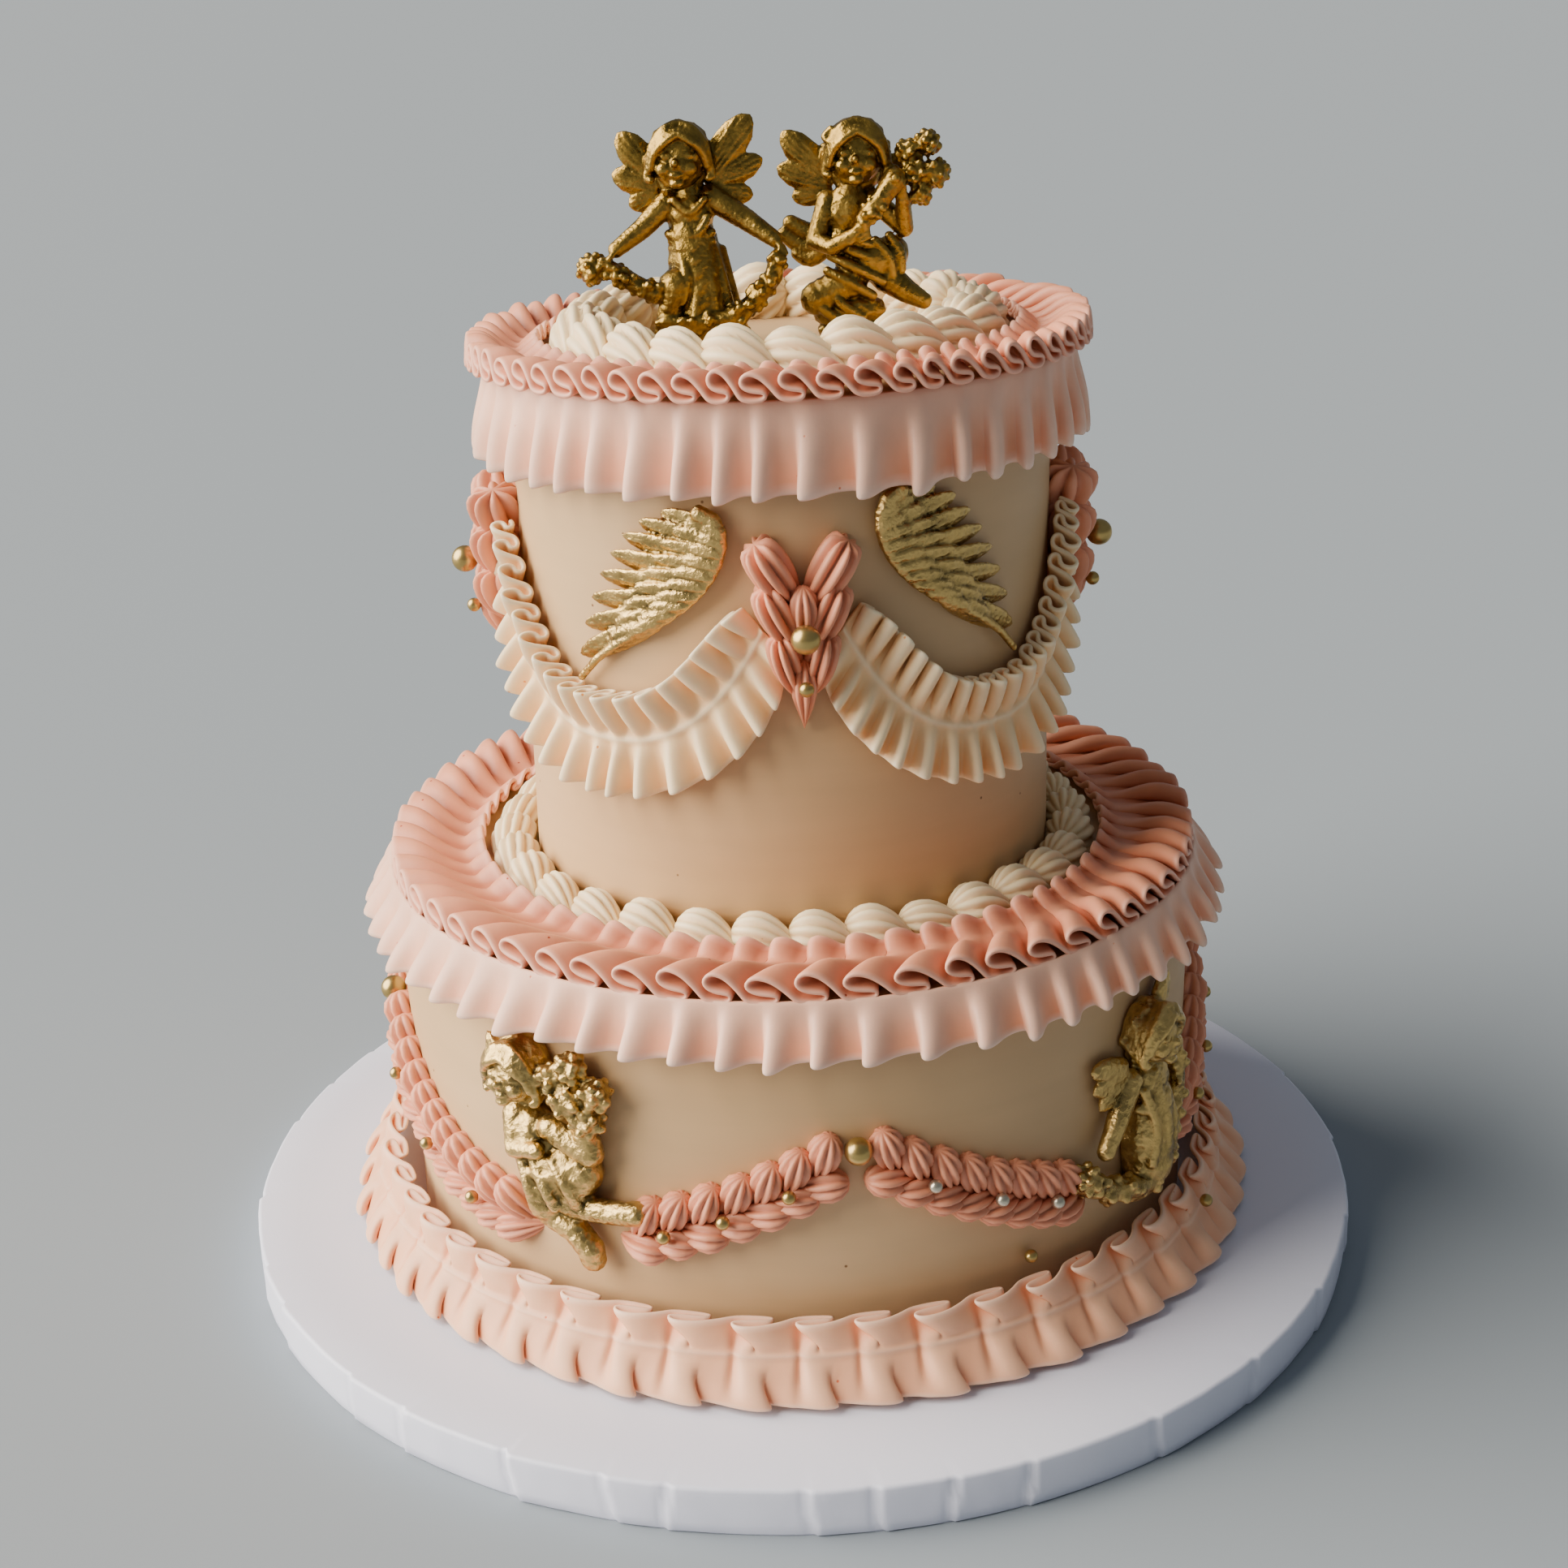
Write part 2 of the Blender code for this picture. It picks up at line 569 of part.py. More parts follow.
def bouquet_relief():
    """Flat-backed cherub that hugs a bouquet, its middle at the origin."""
    clay = Clay()
    clay.ball((-9.8, -4, 25.4), (10, 7.5, 10))
    clay.ball((-8.5, -3.5, 27), (10.4, 7, 7.2))
    for tip in ((-24.5, -2, 30.5), (-22.5, -2, 19)):
        clay.petal((-12, -2, 18), tip, 3.8, 2.4)
    clay.ball((7.5, -4, 21), (9, 6, 10))
    for x, z, radius in ((9, 30, 4.2), (16, 23.5, 4.8), (13, 15, 5), (3, 26.5, 5)):
        clay.ball((x, -4, z), (radius,) * 3)
    clay.ball((-7, -3, 4.5), (9, 7, 10.4))
    clay.ball((-11.5, -3, 10.5), (5.4, 5, 5.4))
    clay.limb((1, -5, 10, 4.4), (13, -4, 5, 4.4), (12, -4, 12, 3.8))
    clay.ball((2.5, -3, -4), (12.6, 7, 9))
    clay.limb((9.5, -3, -3, 6.2), (5, -4, -12.5, 5))
    clay.limb((6, -3.5, -14, 4.6), (17, -3.5, -13.5, 4), (26, -3.5, -12, 3.8))
    clay.limb((-2, -3, -6, 7), (-2.5, -4, -15, 6.6))
    clay.limb((-1.5, -3.5, -18.5, 4.8), (6, -3.5, -21.5, 4.4), (11, -3.5, -26.5, 4.2), (11.5, -3, -30, 3.6))
    clay.limb((-16, -2, 4, 2.6), (-14, -2, -1, 2.6))
    return clay


def drop(number, azimuth):
    """Coral drop where two swags meet: three pairs of shells and a tail, with a seed pearl on the tail."""
    clay = Clay()
    rows = ((-5.2, 5.6, 5.2, 6), (-17, 5.2, 5.0, 6.5), (-29, 3.8, 4.3, 8))
    for top, aside, radius, out in rows:
        for side in (-1, 1):
            clay.limb((side * aside, -out, top, radius), (side * 0.8, 1 - out, top - 14, 0.4 * radius))
    clay.limb((0, -8.5, -37, 3.8), (0, -7.5, -46, 1.5))
    clay.ball((0, -12.3, -37.5), (2.2, 2.2, 2.2))
    bm = clay.melted(150, back=0.0)
    on_wall(bm, azimuth, DROP_TOP, UPPER_RADIUS)
    put_in_scene(bm, "drop_%d" % number, finish_of("coral_buttercream", CORAL))


def cherubs():
    """Two resin figures on the crown, inside the wreath, side by side."""
    gilt = finish_of("antique_gold_resin", GILT, 0.34, 0.9)
    for name, clay, spot in (("cherub_left", kneeling_cherub(), (-24.2, -1)),
                             ("cherub_right", bouquet_cherub(), (23.2, 1))):
        bm = clay.melted(420, floor=0.0)
        bmesh.ops.scale(bm, vec=(MM,) * 3, verts=bm.verts)
        bmesh.ops.translate(bm, vec=(spot[0] * MM, spot[1] * MM, UPPER_TOP + 0.4 * MM), verts=bm.verts)
        tilt_crown(bm)
        put_in_scene(bm, name, gilt)


def reliefs():
    """Gilt cherub reliefs on the lower wall, one in each low point of the garland, two designs in turn."""
    leaf = finish_of("gold_leaf", GILT, 0.3, 1.0)
    places = (
        (1, bouquet_relief, -33, 78), (2, kneeling_relief, 52.5, 74),
        (3, bouquet_relief, 147, 78), (4, kneeling_relief, -127.5, 74),
    )
    for number, design, azimuth, height in places:
        bm = design().melted(120, back=0.0)
        on_wall(bm, azimuth, height * MM, LOWER_RADIUS)
        put_in_scene(bm, "relief_%d" % number, leaf)


def bezier(points, share):
    """Point of a Bezier curve by repeated blending of its control points."""
    points = [Vector(p) for p in points]
    while len(points) > 1:
        points = [a.lerp(b, share) for a, b in zip(points, points[1:])]
    return points[0]


# Guide curves of a left wing, in millimetres along the wall and up: the bony front edge and the quills
WING_FRONT = ((-27, 8), (-6, 12), (-17, -10), (-20, -24), (-42, -20), (-61, -43))
WING_QUILLS = ((-27, 8), (-46, 8), (-50, -8), (-61, -20), (-64, -43))
WING_FEATHERS = 7


def wing(number, azimuth, height, mirrored):
    """Flat gilt wing on the upper wall, with a scalloped edge of feather tips."""
    outline = [bezier(WING_FRONT, index / 6) for index in range(1, 7)]
    for feather in range(WING_FEATHERS, 0, -1):
        outline.append(bezier(WING_QUILLS, (feather - 0.1) / WING_FEATHERS))
        notch = bezier(WING_QUILLS, (feather - 0.75) / WING_FEATHERS)
        outline.append(notch.lerp(bezier(WING_FRONT, (feather - 0.75) / WING_FEATHERS), 0.12))
    bm = bmesh.new()
    rim = [bm.verts.new((x, 0, z)) for x, z in outline]
    face = bm.faces.new(rim)
    grown = bmesh.ops.extrude_face_region(bm, geom=[face])["geom"]
    front = [item for item in grown if isinstance(item, bmesh.types.BMVert)]
    bmesh.ops.translate(bm, vec=(0, -3.2, 0), verts=front)
    if mirrored:
        bmesh.ops.scale(bm, vec=(-1, 1, 1), verts=bm.verts)
    on_wall(bm, azimuth, height * MM, UPPER_RADIUS)
    put_in_scene(bm, "wing_%d" % number, finish_of("gold_leaf", GILT, 0.3, 1.0))


def pearls():
    """Big pearls on the drops and the garland peaks, and two stray small ones."""
    gold = finish_of("satin_gold_pearl", (0.66, 0.50, 0.22), 0.28, 1.0)
    for quarter in range(4):
        azimuth = FIRST_DROP + 90 * quarter
        centre = on_cake(azimuth, UPPER_RADIUS + 16.3 * MM, 224.5 * MM)
        put_in_scene(pearl(centre, BIG_PEARL), "drop_pearl_%d" % (quarter + 1), gold)
        azimuth = FIRST_PEAK + 90 * quarter
        centre = on_cake(azimuth, LOWER_RADIUS + BIG_PEARL + GAP, 88 * MM)
        put_in_scene(pearl(centre, BIG_PEARL), "peak_pearl_%d" % (quarter + 1), gold)
    for number, (azimuth, radius, height) in enumerate(((31, 126.6, 41.5), (62, 139.5, 32.5)), 1):
        centre = on_cake(azimuth, radius * MM, height * MM)
        put_in_scene(seed_pearl(centre), "stray_pearl_%d" % number, gold)


def main():
    clear_scene()
    board_and_tiers()
    base_ruffle()
    skirt("lower_skirt", LOWER_SKIRT_FOLDS, LOWER_RADIUS, 127 * MM, LOWER_SKIRT_OUTER, LOWER_TOP,
          LOWER_SKIRT_BOTTOM, 13)
    collar("lower_collar", LOWER_COLLAR, LOWER_TOP + GAP, 17)
    shell_border()
    skirt("upper_skirt", UPPER_SKIRT_FOLDS, UPPER_RADIUS, 86.5 * MM, UPPER_SKIRT_OUTER, UPPER_TOP,
          UPPER_SKIRT_BOTTOM, 23)
    collar("upper_collar", UPPER_COLLAR, UPPER_TOP + GAP, 27)
    top_wreath()
    for quarter in range(4):
        middle = FIRST_DROP - 45 + 90 * quarter
        left = SWAG_RISE_FRONT if quarter == 1 else SWAG_RISE_SIDE
        right = SWAG_RISE_FRONT if quarter == 0 else SWAG_RISE_SIDE
        swag(quarter + 1, middle, left, right)
        drop(quarter + 1, FIRST_DROP + 90 * quarter)
    ends = ((3.4, -18.6), (10.6, 35.4), (93.4, 63.4), (100.6, 132), (183.4, 161.4), (190.6, 215.4),
            (-86.6, -116.6), (-79.4, -39.5))
    for number, (start, end) in enumerate(ends, 1):
        garland(number, start, end)
    reliefs()
    wing(1, 0, 247, False)
    wing(2, 6.5, 250, True)
    wing(3, 180, 247, False)
    wing(4, 186.5, 250, True)
    cherubs()
    pearls()


main()
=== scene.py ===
"""Looks of the two-tier buttercream cake: piped ruffles, shells and garlands, gilt cherubs and pearls.

Metres, +Z up, the shown front faces -Y. An azimuth is in degrees round +Z from the front, growing
towards +X. Lengths in the tables below are millimetres and are scaled by MM where they are used.
"""
import math
import random

import bmesh
import bpy
import numpy as np
from mathutils import Matrix, Vector, noise


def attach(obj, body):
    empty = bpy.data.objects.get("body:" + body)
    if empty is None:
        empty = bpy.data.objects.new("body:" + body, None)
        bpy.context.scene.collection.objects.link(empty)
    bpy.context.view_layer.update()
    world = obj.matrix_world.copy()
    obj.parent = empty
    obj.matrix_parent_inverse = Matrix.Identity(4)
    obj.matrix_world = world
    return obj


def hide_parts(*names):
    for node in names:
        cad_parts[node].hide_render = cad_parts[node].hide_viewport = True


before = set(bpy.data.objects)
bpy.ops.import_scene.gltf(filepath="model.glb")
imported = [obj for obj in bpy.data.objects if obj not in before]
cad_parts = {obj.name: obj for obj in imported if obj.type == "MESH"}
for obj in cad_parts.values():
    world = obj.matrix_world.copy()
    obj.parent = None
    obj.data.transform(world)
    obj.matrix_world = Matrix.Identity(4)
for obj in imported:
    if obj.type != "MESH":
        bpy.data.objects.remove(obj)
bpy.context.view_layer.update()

MM = 0.001

# Board, tiers and the slight tilt of the crown, as in the part
BOARD_RADIUS, BOARD_TOP = 177.8, 15.0
LOWER_RADIUS, LOWER_TOP = 124.0, 131.0
UPPER_RADIUS, UPPER_TOP = 79.7, 285.0
CROWN_TILT_X, CROWN_TILT_Y = 0.018, -0.0175
TILT_STARTS, TILT_FULL = 250.0, 262.0

# Thickness of a piped sheet, radii of the pearls, and azimuths of the front's drop, garland peak and swag
SHEET_THICKNESS = 1.5
BIG_PEARL, SMALL_PEARL = 4.0, 2.0
DROP_AZIMUTH, PEAK_AZIMUTH, SWAG_AZIMUTH = 3, 7, -42
# Half a swag's width in degrees, and the rise of its ends: the ends at the front's right drop are lower
SWAG_REACH = 37.5
FULL_RISE, FRONT_RISE = 41, 30
# Ways in which a figure is cut flat: behind, and below
FLAT_BACK, FLAT_FOOT = (0, 1, 0), (0, 0, -1)

# One fold of a ruffle as guide points: share of the pitch to the right, then share of the depth.
# A scroll doubles back under itself, a hook curls at the hem, a pleat has a steep left flank.
SCROLL = ((0.0, 0.0), (0.35, -0.08), (0.62, 0.0), (0.62, 0.26), (0.33, 0.30), (0.05, 0.42),
          (-0.06, 0.70), (0.10, 1.00), (0.45, 0.86), (0.80, 0.36))
HOOK = ((0.0, 0.72), (0.30, 0.95), (0.52, 1.0), (0.62, 0.86), (0.54, 0.62), (0.37, 0.42),
        (0.26, 0.22), (0.42, 0.22), (0.72, 0.46))
PLEAT = ((0.0, 0.04), (0.20, 0.0), (0.35, 0.08), (0.37, 0.50), (0.36, 0.90), (0.46, 1.04),
         (0.60, 0.86), (0.76, 0.40), (0.90, 0.12))


def at(azimuth, radius, height):
    """The point at an azimuth in degrees, a radius and a height in millimetres, with the crown's tilt."""
    turn = math.radians(azimuth)
    x, y = radius * math.sin(turn), -radius * math.cos(turn)
    share = clamp((height - TILT_STARTS) / (TILT_FULL - TILT_STARTS))
    return Vector((x, y, height + share * (CROWN_TILT_X * x + CROWN_TILT_Y * y))) * MM


def clamp(value):
    """Value kept between 0 and 1."""
    return min(max(value, 0.0), 1.0)


def ease(value):
    """Smooth step from 0 to 1."""
    value = clamp(value)
    return value * value * (3 - 2 * value)


def fold_curve(guide):
    """Sampler of one periodic fold: t from 0 to 1 gives its place along and its depth."""
    points = [Vector(p) for p in guide]
    ahead = Vector((1, 0))
    ring = [points[-1] - ahead] + points + [points[0] + ahead, points[1] + ahead]
    lengths = [0.0]
    for first, last in zip(ring[1:-2], ring[2:-1]):
        lengths.append(lengths[-1] + (last - first).length)

    def sample(t):
        """Point of the smooth curve at a share of the guide's length."""
        reach = t * lengths[-1]
        index = max(i for i in range(len(lengths) - 1) if lengths[i] <= reach + 1e-9)
        share = (reach - lengths[index]) / (lengths[index + 1] - lengths[index])
        before, first, last, after = ring[index:index + 4]
        return 0.5 * (2 * first + (last - before) * share
                      + (2 * before - 5 * first + 4 * last - after) * share ** 2
                      + (3 * first - before - 3 * last + after) * share ** 3)

    return sample


scroll_at, hook_at, pleat_at = fold_curve(SCROLL), fold_curve(HOOK), fold_curve(PLEAT)


class Spacing:
    """Uneven marks of hand-piped folds: turns a count of folds into a share of the whole length."""

    def __init__(self, count, seed, spread=0.12):
        rng = random.Random(seed)
        widths = [1 + rng.uniform(-spread, spread) for _ in range(count)]
        self.count = count
        self.marks = [0.0]
        for width in widths:
            self.marks.append(self.marks[-1] + width / sum(widths))
        self.vigour = [rng.uniform(0.86, 1.08) for _ in range(count)]

    def share(self, folds):
        """Share of the whole length at a count of folds."""
        whole = math.floor(folds)
        laps, index = divmod(whole, self.count)
        step = self.marks[index + 1] - self.marks[index]
        return laps + self.marks[index] + (folds - whole) * step

    def strength(self, fold):
        """How fully a fold is piped."""
        return self.vigour[fold % self.count]


# Materials


def linear(colour):
    """An sRGB hex colour as linear red, green, blue and alpha."""
    channels = [int(colour[i:i + 2], 16) / 255 for i in (1, 3, 5)]
    return (*[c / 12.92 if c <= 0.04045 else ((c + 0.055) / 1.055) ** 2.4 for c in channels], 1.0)


def add(tree, kind, sockets=(), **settings):
    """Add one shader node: settings are its properties, and sockets its values and links."""
    made = tree.nodes.new(kind)
    for name, value in settings.items():
        setattr(made, name, value)
    for name, value in dict(sockets).items():
        if isinstance(value, bpy.types.NodeSocket):
            tree.links.new(value, made.inputs[name])
        else:
            made.inputs[name].default_value = value
    return made


def new_material(name, **constants):
    """A material with one Principled shader whose constant sockets are set directly."""
    material = bpy.data.materials.new(name)
    material.use_nodes = True
    shader = material.node_tree.nodes["Principled BSDF"]
    for socket, value in constants.items():
        shader.inputs[socket.replace("_", " ")].default_value = value
    return material, material.node_tree, shader


def blend(tree, factor, first, second, how="MIX"):
    """Mix two colours, or lay the second over the first in another blend mode."""
    return add(tree, "ShaderNodeMix", {0: factor, 6: first, 7: second}, data_type="RGBA",
               blend_type=how).outputs[2]


def object_place(tree):
    """Coordinates in the object's own metres."""
    return add(tree, "ShaderNodeTexCoord").outputs["Object"]


def attribute(tree, name):
    """Value that the mesh stores at each vertex."""
    return add(tree, "ShaderNodeAttribute", attribute_name=name).outputs["Fac"]


def noise_of(tree, place, size, detail):
    """Noise from 0 to 1 whose blots are about a size in metres."""
    return add(tree, "ShaderNodeTexNoise", {"Vector": place, "Scale": 1 / size,
                                            "Detail": detail}).outputs["Fac"]


def ranged(tree, value, low, high, new_low=0.0, new_high=1.0):
    """Stretch a value from one range to another."""
    return add(tree, "ShaderNodeMapRange", {"Value": value, "From Min": low, "From Max": high,
                                            "To Min": new_low, "To Max": new_high}).outputs["Result"]


def combined(tree, operation, first, second):
    """Two values in one sum."""
    return add(tree, "ShaderNodeMath", {0: first, 1: second}, operation=operation).outputs[0]


def cells_of(tree, place, size):
    """Cells of about a size in metres, each with a distance from its middle and a random colour."""
    return add(tree, "ShaderNodeTexVoronoi", {"Vector": place, "Scale": 1 / size, "Randomness": 1.0})


def surface(tree, shader, colour, height, strength, distance):
    """Give the shader its colour, and a bump in metres from a field of heights."""
    tree.links.new(colour, shader.inputs["Base Color"])
    bump = add(tree, "ShaderNodeBump", {"Height": height, "Strength": strength, "Distance": distance})
    tree.links.new(bump.outputs["Normal"], shader.inputs["Normal"])


def buttercream(name, colour, deep, rim, pits=0.6):
    """Piped buttercream: a soft fat and sugar paste, so light soaks in a little and the sheen is low.

    Valleys and grooves take a warmer, darker colour than crests as painted shade, thin rims are paler,
    the colour is mottled where the tint is not fully mixed, and small air pits break the skin.
    """
    material, tree, shader = new_material(
        name, Roughness=0.46, IOR=1.46, Subsurface_Weight=0.16, Subsurface_Scale=0.0022,
        Subsurface_Radius=(1.0, 0.55, 0.35))
    place = object_place(tree)
    # Clouds of tint about 14 mm across, and a fine grain of about 1.2 mm
    clouds = noise_of(tree, place, 0.014, 3.0)
    grain = noise_of(tree, place, 0.0012, 2.0)
    # Painted shade: the deep colour fills valleys and grooves wherever the stored depth is low
    body = blend(tree, attribute(tree, "depth"), linear(deep), linear(colour))
    body = blend(tree, attribute(tree, "rim"), body, linear(rim))
    body = blend(tree, 1.0, body, ranged(tree, clouds, 0.35, 0.65, 0.93, 1.04), "MULTIPLY")
    # Air pits about 0.7 mm across, in a share of the 9 mm cells, dented and darkened with the deep colour as
    # painted shade
    cells = cells_of(tree, place, 0.009)
    lot = add(tree, "ShaderNodeSeparateColor", {"Color": cells.outputs["Color"]}).outputs["Red"]
    pit = combined(tree, "MULTIPLY", ranged(tree, cells.outputs["Distance"], 0.03, 0.055, 1.0, 0.0),
                   combined(tree, "GREATER_THAN", lot, 1 - pits))
    body = blend(tree, pit, body, linear(deep), "MULTIPLY")
    height = combined(tree, "SUBTRACT", combined(tree, "MULTIPLY", grain, 0.25), pit)
    surface(tree, shader, body, height, 0.35, 0.0004)
    return material


def smoothed_buttercream():
    """Buttercream coat drawn smooth with a warm scraper: matt, faint level streaks, stray pits."""
    material, tree, shader = new_material(
        "scraped_buttercream", Roughness=0.5, IOR=1.46, Subsurface_Weight=0.10, Subsurface_Scale=0.002,
        Subsurface_Radius=(1.0, 0.6, 0.4))
    place = object_place(tree)
    # Streaks run level round the cake: 60 mm long and 6 mm high
    level = add(tree, "ShaderNodeMapping", {"Vector": place, "Scale": (0.3, 0.3, 3.0)}).outputs[0]
    streak = noise_of(tree, level, 0.018, 4.0)
    body = blend(tree, noise_of(tree, place, 0.05, 2.0), linear("#C4A072"), linear("#D0AE82"))
    body = blend(tree, 1.0, body, ranged(tree, streak, 0.3, 0.7, 0.97, 1.02), "MULTIPLY")
    # Pits about 0.8 mm across, one in each 16 mm cell, dented and darkened as painted shade
    cells = cells_of(tree, place, 0.016)
    pit = ranged(tree, cells.outputs["Distance"], 0.018, 0.034, 1.0, 0.0)
    body = blend(tree, pit, body, linear("#9A8468"), "MULTIPLY")
    surface(tree, shader, body, combined(tree, "SUBTRACT", streak, pit), 0.25, 0.0004)
    return material


def gold(name, light, dark, spacing, strength):
    """Gold finish on a moulded figure: patchy bright and brown tone, brighter on ridges and brown in the
    hollows as painted light and shade.
    """
    material, tree, shader = new_material(name, Metallic=1.0)
    place = object_place(tree)
    patches = noise_of(tree, place, 4 * spacing, 4.0)
    # Brown in the hollows and brightness on the ridges are painted shade and light; the noise patches are the
    # gilt's own uneven tone
    patchy_tone_and_hollow_shade = ranged(tree, combined(tree, "ADD", patches, attribute(tree, "depth")), 0.45, 1.15)
    # Crinkles of the leaf or brush marks of the paint, at a spacing in metres
    height = combined(tree, "ADD", cells_of(tree, place, spacing).outputs["Distance"],
                      noise_of(tree, place, spacing / 2.4, 3.0))
    surface(tree, shader, blend(tree, patchy_tone_and_hollow_shade, linear(dark), linear(light)), height, strength, 0.0006)
    tree.links.new(ranged(tree, patches, 0.3, 0.7, 0.22, 0.44), shader.inputs["Roughness"])
    return material


def pearl_coat(name, colour):
    """Sugar pearl with a rolled-on metallic dust: satin shine, slightly uneven."""
    material, tree, shader = new_material(name, Metallic=0.92, Roughness=0.3)
    dust = noise_of(tree, object_place(tree), 0.0012, 3.0)
    body = blend(tree, 1.0, linear(colour), ranged(tree, dust, 0.0, 1.0, 0.86, 1.1), "MULTIPLY")
    surface(tree, shader, body, dust, 0.12, 0.0002)
    return material


def wrapped_paper():
    """White embossed foil paper glued round the drum board: cool white, faint fibre grain."""
    material, tree, shader = new_material("board_wrap_paper", Roughness=0.42, IOR=1.5)
    place = object_place(tree)
    body = blend(tree, noise_of(tree, place, 0.06, 1.0), linear("#DADDF0"), linear("#E4E7F6"))
    surface(tree, shader, body, noise_of(tree, place, 0.0016, 4.0), 0.10, 0.0003)
    return material


# Collars, garlands and drops
coral = buttercream("coral_piped_buttercream", "#E49A78", "#BE6A4B", "#F2B9A0")
# Skirts under the collars
blush = buttercream("blush_piped_buttercream", "#F4C4AA", "#EBA17A", "#F8D8C5")
# Ruffle at the foot
peach = buttercream("peach_piped_buttercream", "#F6BE98", "#E89566", "#F9D2B7")
# Shell border and wreath
cream = buttercream("cream_star_piped_buttercream", "#FAE6BC", "#D8AA6C", "#FCF0D2", pits=0.2)
# Swags
ivory = buttercream("ivory_piped_buttercream", "#F9DFB4", "#E8AD6A", "#FCECCB")
# Walls of both tiers
coat = smoothed_buttercream()
# Gold leaf pressed on the reliefs and wings, and gold paint on the two figures
leaf = gold("crumpled_gold_leaf", "#CDAE6C", "#33260E", 0.0022, 0.5)
resin = gold("antique_gold_painted_resin", "#A0823E", "#1E1606", 0.0012, 0.22)
# Most pearls are gold; those of one garland are silver
gold_pearl = pearl_coat("gold_dusted_sugar_pearl", "#B89F62")
pale_pearl = pearl_coat("silver_dusted_sugar_pearl", "#C9C2AE")
paper = wrapped_paper()


# Making and placing pieces


def put(name, data):
    """Put an object with its data in the scene."""
    made = bpy.data.objects.new(name, data)
    bpy.context.scene.collection.objects.link(made)
    return made


def finish_piece(bm, name, material, node=None, sheet=False):
    """Put a bmesh in the scene as a piece of the cake; a sheet gets its thickness and one rounding.

    It stands for the CAD node that its name begins with, unless another node, or "" for none, is given.
    """
    mesh = bpy.data.meshes.new(name)
    bm.to_mesh(mesh)
    bm.free()
    mesh.materials.append(material)
    mesh.shade_smooth()
    piece = put(name, mesh)
    if sheet:
        wall = piece.modifiers.new("wall", "SOLIDIFY")
        wall.thickness = SHEET_THICKNESS * MM
        wall.offset = 0
        smooth = piece.modifiers.new("smooth", "SUBSURF")
        smooth.levels = smooth.render_levels = 1
    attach(piece, "root")
    if node is None:
        node = name.rsplit("_", 1)[0]
    if node:
        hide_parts(node)


def ruffle(folds, steps, rows, place, closed=True):
    """Sheet of a ruffle: place(fold, t, row) gives its point, its depth from 0 to 1, low where shade is
    painted, and its rim share.
    """
    bm = bmesh.new()
    columns = folds * steps
    bmesh.ops.create_grid(bm, x_segments=columns, y_segments=rows - 1, size=1)
    depth = bm.verts.layers.float.new("depth")
    rim = bm.verts.layers.float.new("rim")
    for vert in bm.verts:
        column = round((vert.co.x + 1) / 2 * columns)
        row = round((vert.co.y + 1) / 2 * (rows - 1))
        if closed:
            column %= columns
        fold, step = divmod(column, steps)
        if fold == folds:
            fold, step = folds - 1, steps
        vert.co, vert[depth], vert[rim] = place(fold, step / steps, row)
    if closed:
        bmesh.ops.remove_doubles(bm, verts=bm.verts, dist=1e-6)
    bmesh.ops.recalc_face_normals(bm, faces=bm.faces)
    return bm


def lathe(profile, steps):
    """Solid of revolution round Z from (radius, height) points that start and end on the axis."""
    bm = bmesh.new()
    verts = [bm.verts.new((r * MM, 0, z * MM)) for r, z in profile]
    edges = [bm.edges.new(pair) for pair in zip(verts, verts[1:])]
    bmesh.ops.spin(bm, geom=verts + edges, cent=(0, 0, 0), axis=(0, 0, 1), angle=2 * math.pi,
                   steps=steps, use_merge=True)
    bmesh.ops.remove_doubles(bm, verts=bm.verts, dist=1e-6)
    bmesh.ops.recalc_face_normals(bm, faces=bm.faces)
    return bm


def round_corner(radius, height, size):
    """Points of a rounded rim, from the flat top to the wall."""
    turns = [math.pi / 8 * step for step in range(5)]
    return [(radius - size + size * math.sin(turn), height - size + size * math.cos(turn)) for turn in turns]


# Board and coats


def drum_board():
    """Drum board wrapped in paper: flat top, thin rounded rim with the paper's overlapping pleats."""
    profile = [(radius, BOARD_TOP) for radius in (0, 60, 120, 165)]
    profile += round_corner(BOARD_RADIUS, BOARD_TOP, 1.3)
    profile += [(BOARD_RADIUS, height) for height in (11, 7.5, 4)]
    profile += [(BOARD_RADIUS - 0.5, 0.6), (BOARD_RADIUS - 1.2, 0.0), (120, 0.0), (0, 0.0)]
    bm = lathe(profile, 720)
    depth = bm.verts.layers.float.new("depth")
    rng = random.Random(5)
    # Azimuths where one pleat of the paper laps over the next: those in front are read from the photo
    creases = [-27.5, -17.8, -12.6, 0.0, 5.8, 12.4, 19.6, 33.0]
    while creases[-1] < 325:
        creases.append(creases[-1] + rng.uniform(6, 17))
    slants = [rng.uniform(-0.9, 0.9) for _ in creases]
    # Band of the rim that is pleated, in millimetres, and a pleat's lap and notch in degrees
    band, lap, notch = 4, 9, 0.9
    for vert in bm.verts:
        vert[depth] = 1.0
        radius = vert.co.xy.length / MM
        if radius < BOARD_RADIUS - band or vert.co.z < 0.0005:
            continue
        azimuth = math.degrees(math.atan2(vert.co.x, -vert.co.y))
        out = 0.0
        for crease, slant in zip(creases, slants):
            line = crease + slant * (vert.co.z / MM / BOARD_TOP - 0.5)
            past = (azimuth - line + 180) % 360 - 180
            if 0 <= past < lap:
                out += 0.70 * (1 - past / lap) ** 1.5
            elif -notch < past < 0:
                out -= 0.60 * (1 + past / notch)
        ripple = noise.noise(Vector((azimuth * 0.35, vert.co.z / MM * 0.15, 3.0))) * 0.22
        vert.co.xy *= 1 + (out - 0.35 + ripple) / radius * ease((radius - BOARD_RADIUS + band) / band)
    finish_piece(bm, "board_wrapped", paper)


